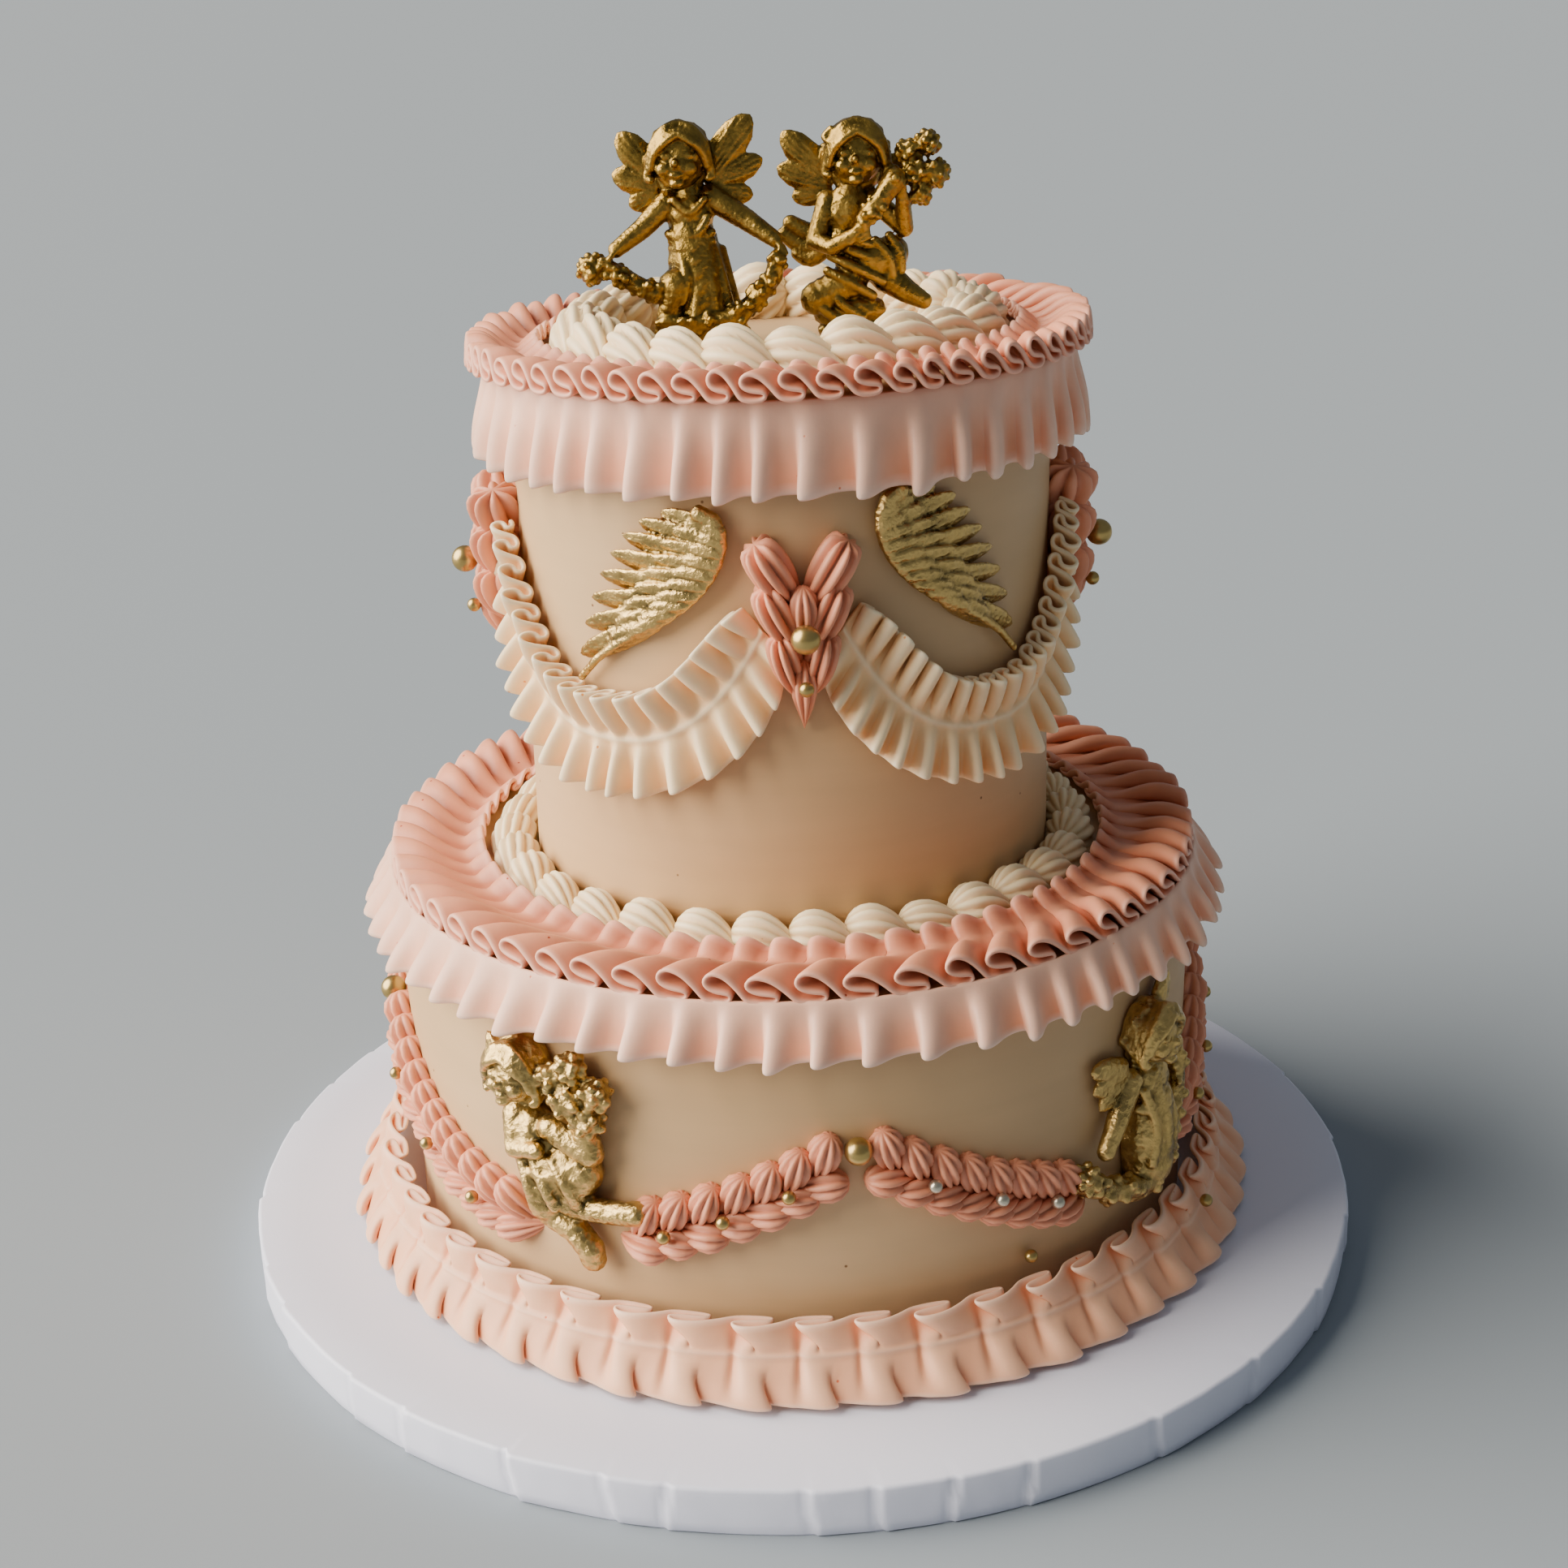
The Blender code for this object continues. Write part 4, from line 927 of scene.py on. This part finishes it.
def kneeling_cherub():
    """Cherub on one knee, holding a rose rope out to both sides."""
    clay = Clay(3, 1.2)
    head = (-2.5, -1.0, 55.0)
    cherub_head(clay, head, -0.7)
    hair(clay, head, 5.4, 0.9)
    clay.ball((-2.5, 0.8, 58.5), (8.6, 8.2, 6.4))
    # Chest, hips and the long gown with its folds
    clay.ball((0, -0.5, 38.5), (7.2, 5.4, 7.4))
    clay.limb((0, 0, 45, 3.4), (0, 0, 40, 5.2))
    clay.limb((0, 0, 33, 7.0), (1.5, 0, 22, 9.2), (2.6, 0, 9, 11.2))
    for stops in (((-4.5, -5.4, 43, 0.9), (0, -6.4, 39.5, 0.9), (4.5, -5.6, 43.5, 0.9)),
                  ((-6.4, -3.8, 33.5, 1.0), (0, -6.8, 31.6, 1.0), (6.4, -4.2, 33.8, 1.0)),
                  ((-5.8, -4.0, 31.5, 0.8), (0, -6.6, 29.6, 0.8), (6.6, -4.6, 31.4, 0.8)),
                  ((5.0, -5.6, 38, 1.0), (2.5, -6.9, 34, 1.0), (-4.0, -5.8, 30.5, 0.9)),
                  ((6.0, -4.0, 30, 1.1), (8.6, -6.0, 20, 1.3), (11.4, -7.6, 7, 1.5)),
                  ((3.0, -6.6, 29, 1.1), (5.6, -8.6, 18, 1.3), (6.4, -9.8, 6, 1.5)),
                  ((-0.5, -6.8, 28, 1.0), (1.4, -9.0, 18, 1.3), (0.5, -10.6, 9, 1.4)),
                  ((8.5, -1.0, 28, 1.2), (11.0, -3.0, 16, 1.5), (14.0, -4.0, 4, 1.6)),
                  ((-3.0, -6.4, 28, 1.0), (-1.6, -9.4, 21.5, 1.2), (-3.2, -10.4, 14.5, 1.2))):
        clay.fold(*stops)
    # Arms and hands
    clay.limb((6.0, 0, 43, 3.9), (16, -3, 36.6, 3.3), (24.0, -7, 31.2, 2.5))
    clay.limb((-6.4, 0, 42, 3.8), (-13.6, -3, 35.6, 3.2), (-21.4, -6, 30.2, 2.5))
    for knuckle in range(3):
        clay.limb((24.2 + knuckle * 1.0, -8.2 - 0.4 * knuckle, 31.6 - knuckle * 1.1, 0.85),
                  (25.6 + knuckle * 0.8, -9.6, 29.0 - knuckle * 0.8, 0.75))
        clay.limb((-21.6 - knuckle * 1.0, -7.6, 30.0 - knuckle * 1.0, 0.85),
                  (-23.2 - knuckle * 0.9, -9.2, 28.2 - knuckle * 0.8, 0.75))
    # Bent knee, foot and the trailing hem
    clay.ball((-4.8, -6, 18.8), (5.4, 5.4, 5.6))
    clay.limb((-5, -7, 17, 4.4), (-8.5, -6, 6, 3.4))
    clay.limb((-8.6, -7, 3.4, 2.7), (-12.0, -9.4, 2.4, 2.1))
    clay.ball((4, 0, 3.5), (13.5, 8.8, 4.8))
    for index in range(7):
        bow = 0.3 * (index - 3) ** 2 * 0.4
        clay.ball((-6 + 3.6 * index, -7.6 + bow, 2.2 + 0.8 * (index % 2)), (2.4, 2.0, 2.2))
    # Rose ropes
    clay.roses((-28.4, -6, 25), 4.8, 26, 1.25)
    clay.rose_rope((-25, -7, 26, 3.0), (-17, -8, 21, 3.3), (-9.5, -8.4, 16.5, 3.3))
    clay.rose_rope((-8, -9, 9.5, 2.6), (0.5, -9.4, 8.6, 3.0), (10.9, -9.4, 9.6, 3.3), (17.5, -9, 14, 3.3),
                   (23.4, -9, 21, 3.3), (24.8, -9, 27.5, 2.9))
    # Ribbed wings in three lobes a side
    for root, tip, width in (((4, 3.4, 47), (18.2, 4.5, 65.5), 5.4), ((4, 3.6, 46), (21.5, 4.5, 53.0), 4.4),
                             ((4, 3.6, 45), (18.5, 4.5, 42.5), 3.9), ((-8, 3.6, 47), (-20.4, 4.5, 62), 5.0),
                             ((-8, 3.6, 46), (-22.6, 4.5, 50.5), 4.4),
                             ((-8, 3.6, 45), (-18.0, 4.5, 41.0), 3.8)):
        clay.feather(root, tip, width, 1.7, ribs=4)
    return clay, eye_dents(head, -0.7)


def bouquet_cherub():
    """Kneeling cherub that hugs a long bouquet, with a wind-blown sash."""
    clay = Clay(4, 2.0)
    head = (0.5, -1.0, 53.5)
    cherub_head(clay, head, -0.4)
    hair(clay, head, 5.0, 0.8)
    clay.ball((0.5, 0.8, 57.0), (8.7, 8.3, 6.6))
    # Curls on the brow
    for stops in (((-6.6, -7.0, 60.5, 0.9), (-8.4, -6.8, 58.6, 0.9), (-7.0, -8.0, 57.2, 0.8),
                   (-5.8, -8.0, 58.8, 0.7)),
                  ((2.5, -7.6, 61.4, 0.9), (6.0, -7.2, 58.6, 0.9), (8.6, -5.4, 54.6, 0.9))):
        clay.fold(*stops)
    clay.limb((-1.2, 0, 44, 3.4), (-2, 0, 39, 5.2))
    clay.ball((-2, 0, 36.6), (7.2, 5.4, 8.8))
    # Left arm down and across, right arm up under the bouquet
    clay.limb((-8.0, 0, 40.2, 3.3), (-11.8, -3, 29.4, 2.9), (-7.0, -7.4, 28.0, 2.6), (-0.6, -9.0, 31.4, 2.1))
    clay.limb((5.5, 0, 40, 3.3), (14.0, -1, 31.8, 2.9), (13.4, -6, 40.6, 2.3))
    for knuckle in range(4):
        clay.limb((-0.4 + knuckle * 0.4, -10.2, 33.2 - knuckle * 1.2, 0.8),
                  (3.0 + knuckle * 0.2, -10.4, 34.4 - knuckle * 1.2, 0.75))
        clay.limb((11.4 + knuckle * 0.9, -7.6, 42.2 - knuckle * 0.3, 0.8),
                  (11.0 + knuckle * 0.9, -8.6, 44.6, 0.7))
    # Bouquet: stems, then roses
    clay.limb((-2.0, -9.6, 29.5, 1.3), (2.5, -9.4, 35, 2.0))
    clay.rose_rope((2.0, -9.0, 35.5, 2.8), (7.5, -8.4, 41.6, 3.6), (12.0, -7.4, 47.2, 4.4))
    for x, z, radius in ((20.6, 55.6, 3.9), (22.8, 47.0, 4.4), (18.8, 41.6, 3.3), (14.8, 53.6, 3.5),
                         (17.2, 47.8, 4.4)):
        clay.roses((x, -4.4, z), radius, 20, 1.15)
    # Sash blown to the left
    for stops in (((-6, -1, 33, 2.2), (-12, 1, 30.5, 2.4), (-19.5, 2, 34.5, 1.7)),
                  ((-7, -2, 30, 2.0), (-14, 1, 27, 2.2), (-21.5, 2, 31.5, 1.5)),
                  ((-7, -2, 28, 1.8), (-13, 0, 24, 2.0), (-17.5, 1, 26.0, 1.5))):
        clay.fold(*stops)
    # Hips, thighs and shins under gathered cloth
    clay.ball((3, 0, 23.2), (9.8, 6.8, 6.8))
    clay.ball((10.3, 1, 24.5), (5.3, 5.8, 5.5))
    clay.limb((8.7, 0, 18, 4.8), (14.5, -1.4, 13.6, 3.6), (19.4, -2.2, 10.8, 2.6))
    clay.limb((-2.2, -2, 17, 5.8), (-11.5, -3, 13, 5.2))
    clay.ball((-2.2, -1, 8.7), (11.2, 6.8, 5.8))
    clay.ball((0, 0, 3.6), (12.2, 7.8, 4.4))
    for stops in (((-6.0, -5.4, 31, 0.9), (0, -7.2, 29.4, 1.1), (6.4, -5.6, 27.0, 1.0)),
                  ((-6.5, -5.6, 28.5, 1.0), (0, -7.8, 26.0, 1.2), (8.8, -5.6, 21.5, 1.1)),
                  ((-7.5, -6.0, 25, 1.0), (-1.0, -8.2, 22.0, 1.2), (8.0, -6.4, 17.0, 1.1)),
                  ((-8.5, -7.0, 21, 1.0), (-2.0, -8.6, 17.6, 1.2), (5.0, -7.0, 13.0, 1.1)),
                  ((-13.0, -6.4, 16, 1.0), (-10.0, -8.4, 10.5, 1.2), (-4.0, -8.4, 6.0, 1.2)),
                  ((-8.0, -7.8, 16.5, 1.0), (-4.5, -8.8, 11.5, 1.2), (2.0, -8.0, 7.0, 1.2)),
                  ((9.5, -5.0, 30, 1.0), (12.6, -4.6, 25, 1.2), (13.0, -4.0, 19.5, 1.1)),
                  ((5.5, -6.4, 29, 1.0), (9.4, -6.2, 24, 1.1), (10.4, -5.4, 18.5, 1.0))):
        clay.fold(*stops)
    for root, tip, width in (((-6, 3.6, 45), (-21.0, 4.5, 60.0), 4.8),
                             ((-6, 3.6, 44), (-22.6, 4.5, 50.0), 4.4),
                             ((-6, 3.6, 43), (-18.4, 4.5, 41.2), 3.8), ((6, 3.8, 44), (17, 5.5, 52), 4.0)):
        clay.feather(root, tip, width, 1.7, ribs=4)
    return clay, eye_dents(head, -0.4)


def top_cherubs():
    """Two gilt resin figures on the crown, side by side inside the wreath."""
    for name, (clay, dents), aside, back in (("cherub_left", kneeling_cherub(), -24.2, -1.0),
                                             ("cherub_right", bouquet_cherub(), 23.2, 1.0)):
        bm = clay.melted(0.42, 0.06, 1.4, FLAT_FOOT, dents)
        for vert in bm.verts:
            x, y = vert.co.x + aside, vert.co.y + back
            vert.co = at(math.degrees(math.atan2(x, -y)), math.hypot(x, y), vert.co.z + UPPER_TOP + 0.4)
        finish_piece(bm, name + "_gilt", resin)


def kneeling_relief():
    """Flat-backed cherub with a rose rope, its middle at the origin."""
    clay = Clay(5, 1.8)
    cherub_head(clay, (0.3, -4.6, 23.0), 0.3)
    hair(clay, (0.3, -4.6, 23.0), 6.0, 0.8)
    clay.ball((0.3, -3, 24.5), (9.4, 7.4, 9.4))
    clay.feather((6, -2, 24), (15, -2, 37), 4.4, 2.2, ribs=3)
    for tip in ((-25, -2, 19), (-24, -2, 11.5), (-21, -2, 5)):
        clay.feather((-8, -2.4, 15), tip, 4.0, 2.2, ribs=3)
    clay.ball((1.5, -3, 7), (8.6, 6, 8.6))
    clay.limb((-8, -3, 10, 4.0), (-14.5, -4, 1.5, 3.5), (-21, -5, -7, 2.8))
    clay.roses((-28.5, -4, -13.5), 5.4, 26, 1.4)
    clay.limb((9, -3, 11, 4.0), (17, -4, 12, 3.2), (18, -4, 5, 3.2))
    clay.rose_rope((18, -5, 6, 3.4), (16.7, -5, -4, 3.8), (13, -5, -14, 4.0), (8, -6, -21, 4.2))
    clay.limb((2, -3, 0, 8), (0.5, -3, -10, 9.2), (0, -4.5, -19, 8.2))
    clay.rose_rope((-27, -5, -15, 3.6), (-19, -6, -20.5, 3.9), (-9, -7, -23, 4.1), (2, -7, -24, 4.0))
    clay.ball((-1, -2.5, -26.5), (11.6, 5.8, 5.2))
    for stops in (((-5, -8, 6, 1.2), (-3, -11, -6, 1.4), (-5, -11, -17, 1.4)),
                  ((0, -9, 6, 1.2), (1, -12, -6, 1.5), (0, -12, -18, 1.4)),
                  ((5, -8, 5, 1.2), (6, -11, -6, 1.4), (6, -11, -17, 1.4)),
                  ((-7, -7, 1, 1.1), (0, -10.5, -1, 1.2), (8, -7.5, 2, 1.1))):
        clay.fold(*stops)
    return clay


def bouquet_relief():
    """Flat-backed cherub that hugs a bouquet, its middle at the origin."""
    clay = Clay(6, 1.8)
    cherub_head(clay, (-9.8, -4.8, 25.0), -0.3)
    hair(clay, (-9.8, -4.8, 25.0), 6.0, 0.8)
    clay.ball((-9.6, -3, 27.0), (9.4, 7.4, 9.4))
    for tip, width in (((-24.5, -2, 31.5), 4.0), ((-22.8, -2, 19), 4.4)):
        clay.feather((-12, -2.4, 18), tip, width, 2.2, ribs=3)
    for x, z, radius in ((8.5, 30.5, 4.6), (16, 24, 5.0), (13, 15, 5.2), (3, 26, 4.8), (7.6, 20.5, 6.6)):
        clay.roses((x, -5.2, z), radius, 22, 1.5)
    clay.ball((-7, -3, 4.5), (8.8, 7, 10.2))
    clay.ball((-11.5, -3.4, 10.5), (5.2, 5, 5.2))
    clay.limb((-11.5, -5, 10, 4.0), (-9.5, -8.6, 2, 3.0), (-1, -10, 4.4, 2.6))
    clay.limb((1, -5, 10, 4.2), (13, -5, 5, 4.2), (12, -5, 12, 3.6))
    clay.ball((2.5, -3, -4), (12.2, 7, 8.8))
    clay.limb((9.5, -3, -3, 6.0), (5, -4, -12.5, 4.8))
    clay.limb((6, -3.5, -14, 4.2), (17, -4.0, -13.5, 3.8), (25.6, -4.5, -12, 3.9))
    clay.limb((-2, -3, -6, 6.8), (-2.5, -4, -15, 6.2))
    clay.limb((-1.5, -3.8, -18.5, 4.6), (6, -4.2, -21.5, 4.2), (11, -4.4, -26.5, 4.1), (11.5, -4, -30, 3.8))
    clay.limb((-16, -2, 4, 2.4), (-14, -2, -1, 2.4))
    for stops in (((-9, -9, 0, 1.2), (-5, -11, -8, 1.4), (-4, -10, -16, 1.3)),
                  ((-4, -9.5, 0, 1.2), (1, -11.5, -7, 1.4), (3, -10, -14, 1.3)),
                  ((2, -9, 1, 1.2), (7, -10.5, -5, 1.4), (9, -8.5, -12, 1.2)),
                  ((-10, -8, -3, 1.1), (0, -11, -4, 1.2), (10, -8, 1, 1.1))):
        clay.fold(*stops)
    return clay


def onto_wall(bm, azimuth, height, radius):
    """Bend a flat-backed figure, in millimetres, round a wall."""
    for vert in bm.verts:
        x, y, z = vert.co
        vert.co = at(azimuth + math.degrees(x / radius), radius + 0.5 - y, height + z)


def reliefs():
    """Moulded cherubs covered with crumpled gold leaf, in the low points of the garland."""
    for number, design, azimuth, height in ((1, bouquet_relief, -33, 78), (2, kneeling_relief, 52.5, 74),
                                            (3, bouquet_relief, 147, 78), (4, kneeling_relief, -127.5, 74)):
        bm = design().melted(0.5, 0.16, 3.4, FLAT_BACK)
        onto_wall(bm, azimuth, height, LOWER_RADIUS)
        finish_piece(bm, "relief_%d_gilt" % number, leaf)


def bezier(points, share):
    """Point at a share of the smooth curve that the guide points steer."""
    points = [Vector(p) for p in points]
    while len(points) > 1:
        points = [a.lerp(b, share) for a, b in zip(points, points[1:])]
    return points[0]


# Guide curves of a left wing: the bony front edge and the ends of the quills, along the wall and up
WING_FRONT = ((-27, 8), (-6, 12), (-17, -10), (-20, -24), (-42, -20), (-61, -43))
WING_QUILLS = ((-27, 8), (-46, 8), (-50, -8), (-61, -20), (-64, -43))


def wing(number, azimuth, height, mirrored):
    """Gilt wing on the upper wall: long quills, two rows of coverts over them and a bony front edge."""
    clay = Clay(20 + number, 0)
    # From the quills up to the bony edge: count, begin and end along the quill, width, thickness, lift
    rows = ((8, 0.0, 1.04, 4.1, 1.2, 1.0), (9, 0.0, 0.62, 3.3, 1.1, 2.4), (10, -0.04, 0.34, 2.6, 1.1, 3.5))
    for count, begin, end, width, thick, lift in rows:
        for index in range(count):
            share = (index + 0.5) / count
            front, quill = bezier(WING_FRONT, 0.20 + 0.52 * share), bezier(WING_QUILLS, 0.03 + 0.96 * share)
            root, tip = front.lerp(quill, begin), front.lerp(quill, end)
            clay.feather((root.x, -lift - 0.6, root.y), (tip.x, -lift, tip.y), width, thick, ribs=1,
                         shingle=0.42)
    edge = [bezier(WING_FRONT, index / 14) for index in range(1, 15)]
    for index, (first, last) in enumerate(zip(edge, edge[1:])):
        clay.limb((first.x - 0.8, -3.0, first.y, 2.3 - 0.09 * index),
                  (last.x - 0.8, -2.8, last.y, 2.2 - 0.09 * index))
    bm = clay.melted(0.4, 0.07, 2.2, FLAT_BACK)
    if mirrored:
        bmesh.ops.scale(bm, vec=(-1, 1, 1), verts=bm.verts)
        bmesh.ops.reverse_faces(bm, faces=bm.faces)
    onto_wall(bm, azimuth, height, UPPER_RADIUS)
    finish_piece(bm, "wing_%d_gilt" % number, leaf)


# Camera, light and stage


def camera():
    """Camera at the photograph's angle, fitted to the board's outline and to the piped rings."""
    data = bpy.data.cameras.new("camera")
    data.lens = 55.14
    data.sensor_width = 36
    eye = put("camera", data)
    yaw, down, roll = math.radians(-0.137), math.radians(20.911), math.radians(-1.658)
    ahead = Vector((math.sin(yaw) * math.cos(down), math.cos(yaw) * math.cos(down), -math.sin(down)))
    right = Vector((math.cos(yaw), -math.sin(yaw), 0))
    up = right.cross(ahead)
    across = math.cos(roll) * right + math.sin(roll) * up
    upright = -math.sin(roll) * right + math.cos(roll) * up
    turn = Matrix((across, upright, -ahead)).transposed().to_4x4()
    eye.matrix_world = Matrix.Translation((-0.0004, -0.7037, 0.4161)) @ turn
    bpy.context.scene.camera = eye


def soft_sun(name, place, strength, spread, colour):
    """Wide, far light that falls from a place towards the cake with the same strength everywhere."""
    data = bpy.data.lights.new(name, "SUN")
    data.energy = strength
    data.angle = math.radians(spread)
    data.color = linear(colour)[:3]
    lamp = put(name, data)
    lamp.location = place
    lamp.rotation_euler = (-Vector(place)).to_track_quat("-Z", "Y").to_euler()


def studio():
    """Pale floor, soft daylight from a window on the left, and a dim even fill."""
    world = bpy.data.worlds.new("room")
    bpy.context.scene.world = world
    world.use_nodes = True
    back = world.node_tree.nodes["Background"]
    back.inputs["Color"].default_value = linear("#C4CBD3")
    back.inputs["Strength"].default_value = 0.34
    soft_sun("window", (-1.7, -0.12, 0.95), 10.8, 66, "#FFF5E7")
    bm = bmesh.new()
    bmesh.ops.create_grid(bm, x_segments=1, y_segments=1, size=15)
    mesh = bpy.data.meshes.new("floor")
    bm.to_mesh(mesh)
    bm.free()
    # Matt grey table top, plain so that the cake stands out
    mesh.materials.append(new_material("pale_grey_floor", Roughness=0.7, Base_Color=linear("#8E979F"))[0])
    put("floor", mesh)


camera()
studio()
drum_board()
coats()
base_ruffle()
skirt("lower_skirt_piped", 57, 13, 124.6, 135.2, LOWER_TOP + 1.8, 116.8, 5.2)
collar("lower_collar_piped", 95.9, 126.4, LOWER_TOP + 0.3, 17)
shell_ring("shell_border_piped", count=32, seed=31, spread=0.08, start=0.42, radius=87.2,
           height=LOWER_TOP + 2.6, turn=-16, tip=8, size=(22.5, 17.8, 10.0), rings=14, twist=0.5, tail=0.5)
skirt("upper_skirt_piped", 44, 23, 85.5, 91.0, UPPER_TOP + 0.4, 260.0, 5.0)
collar("upper_collar_piped", 69.4, 92.6, UPPER_TOP + 0.3, 27)
shell_ring("top_wreath_piped", count=22, seed=41, spread=0.10, start=0.35, radius=58.4,
           height=UPPER_TOP + 5.6, turn=-24, tip=10, size=(28, 21.5, 12.6), rings=16, twist=0.9, tail=0.55)
for quarter in range(4):
    swag(quarter + 1, SWAG_AZIMUTH + 90 * quarter, FRONT_RISE if quarter == 1 else FULL_RISE,
         FRONT_RISE if quarter == 0 else FULL_RISE, 20 if quarter == 1 else 18, quarter == 1)
    drop(quarter + 1, DROP_AZIMUTH + 90 * quarter)
# Half garlands: each starts beside a peak and ends at a relief or behind one
for number, (start, end) in enumerate(((4.3, -22.6), (9.7, 39.5), (93.4, 63.4), (100.6, 132), (183.4, 161.4),
                                       (190.6, 215.4), (-86.6, -116.6), (-79.4, -39.5)), 1):
    garland(number, start, end)
pearls()
top_cherubs()
reliefs()
for number, (azimuth, height, mirrored) in enumerate(((0, 247, False), (6.5, 250, True), (180, 247, False),
                                                      (186.5, 250, True)), 1):
    wing(number, azimuth, height, mirrored)
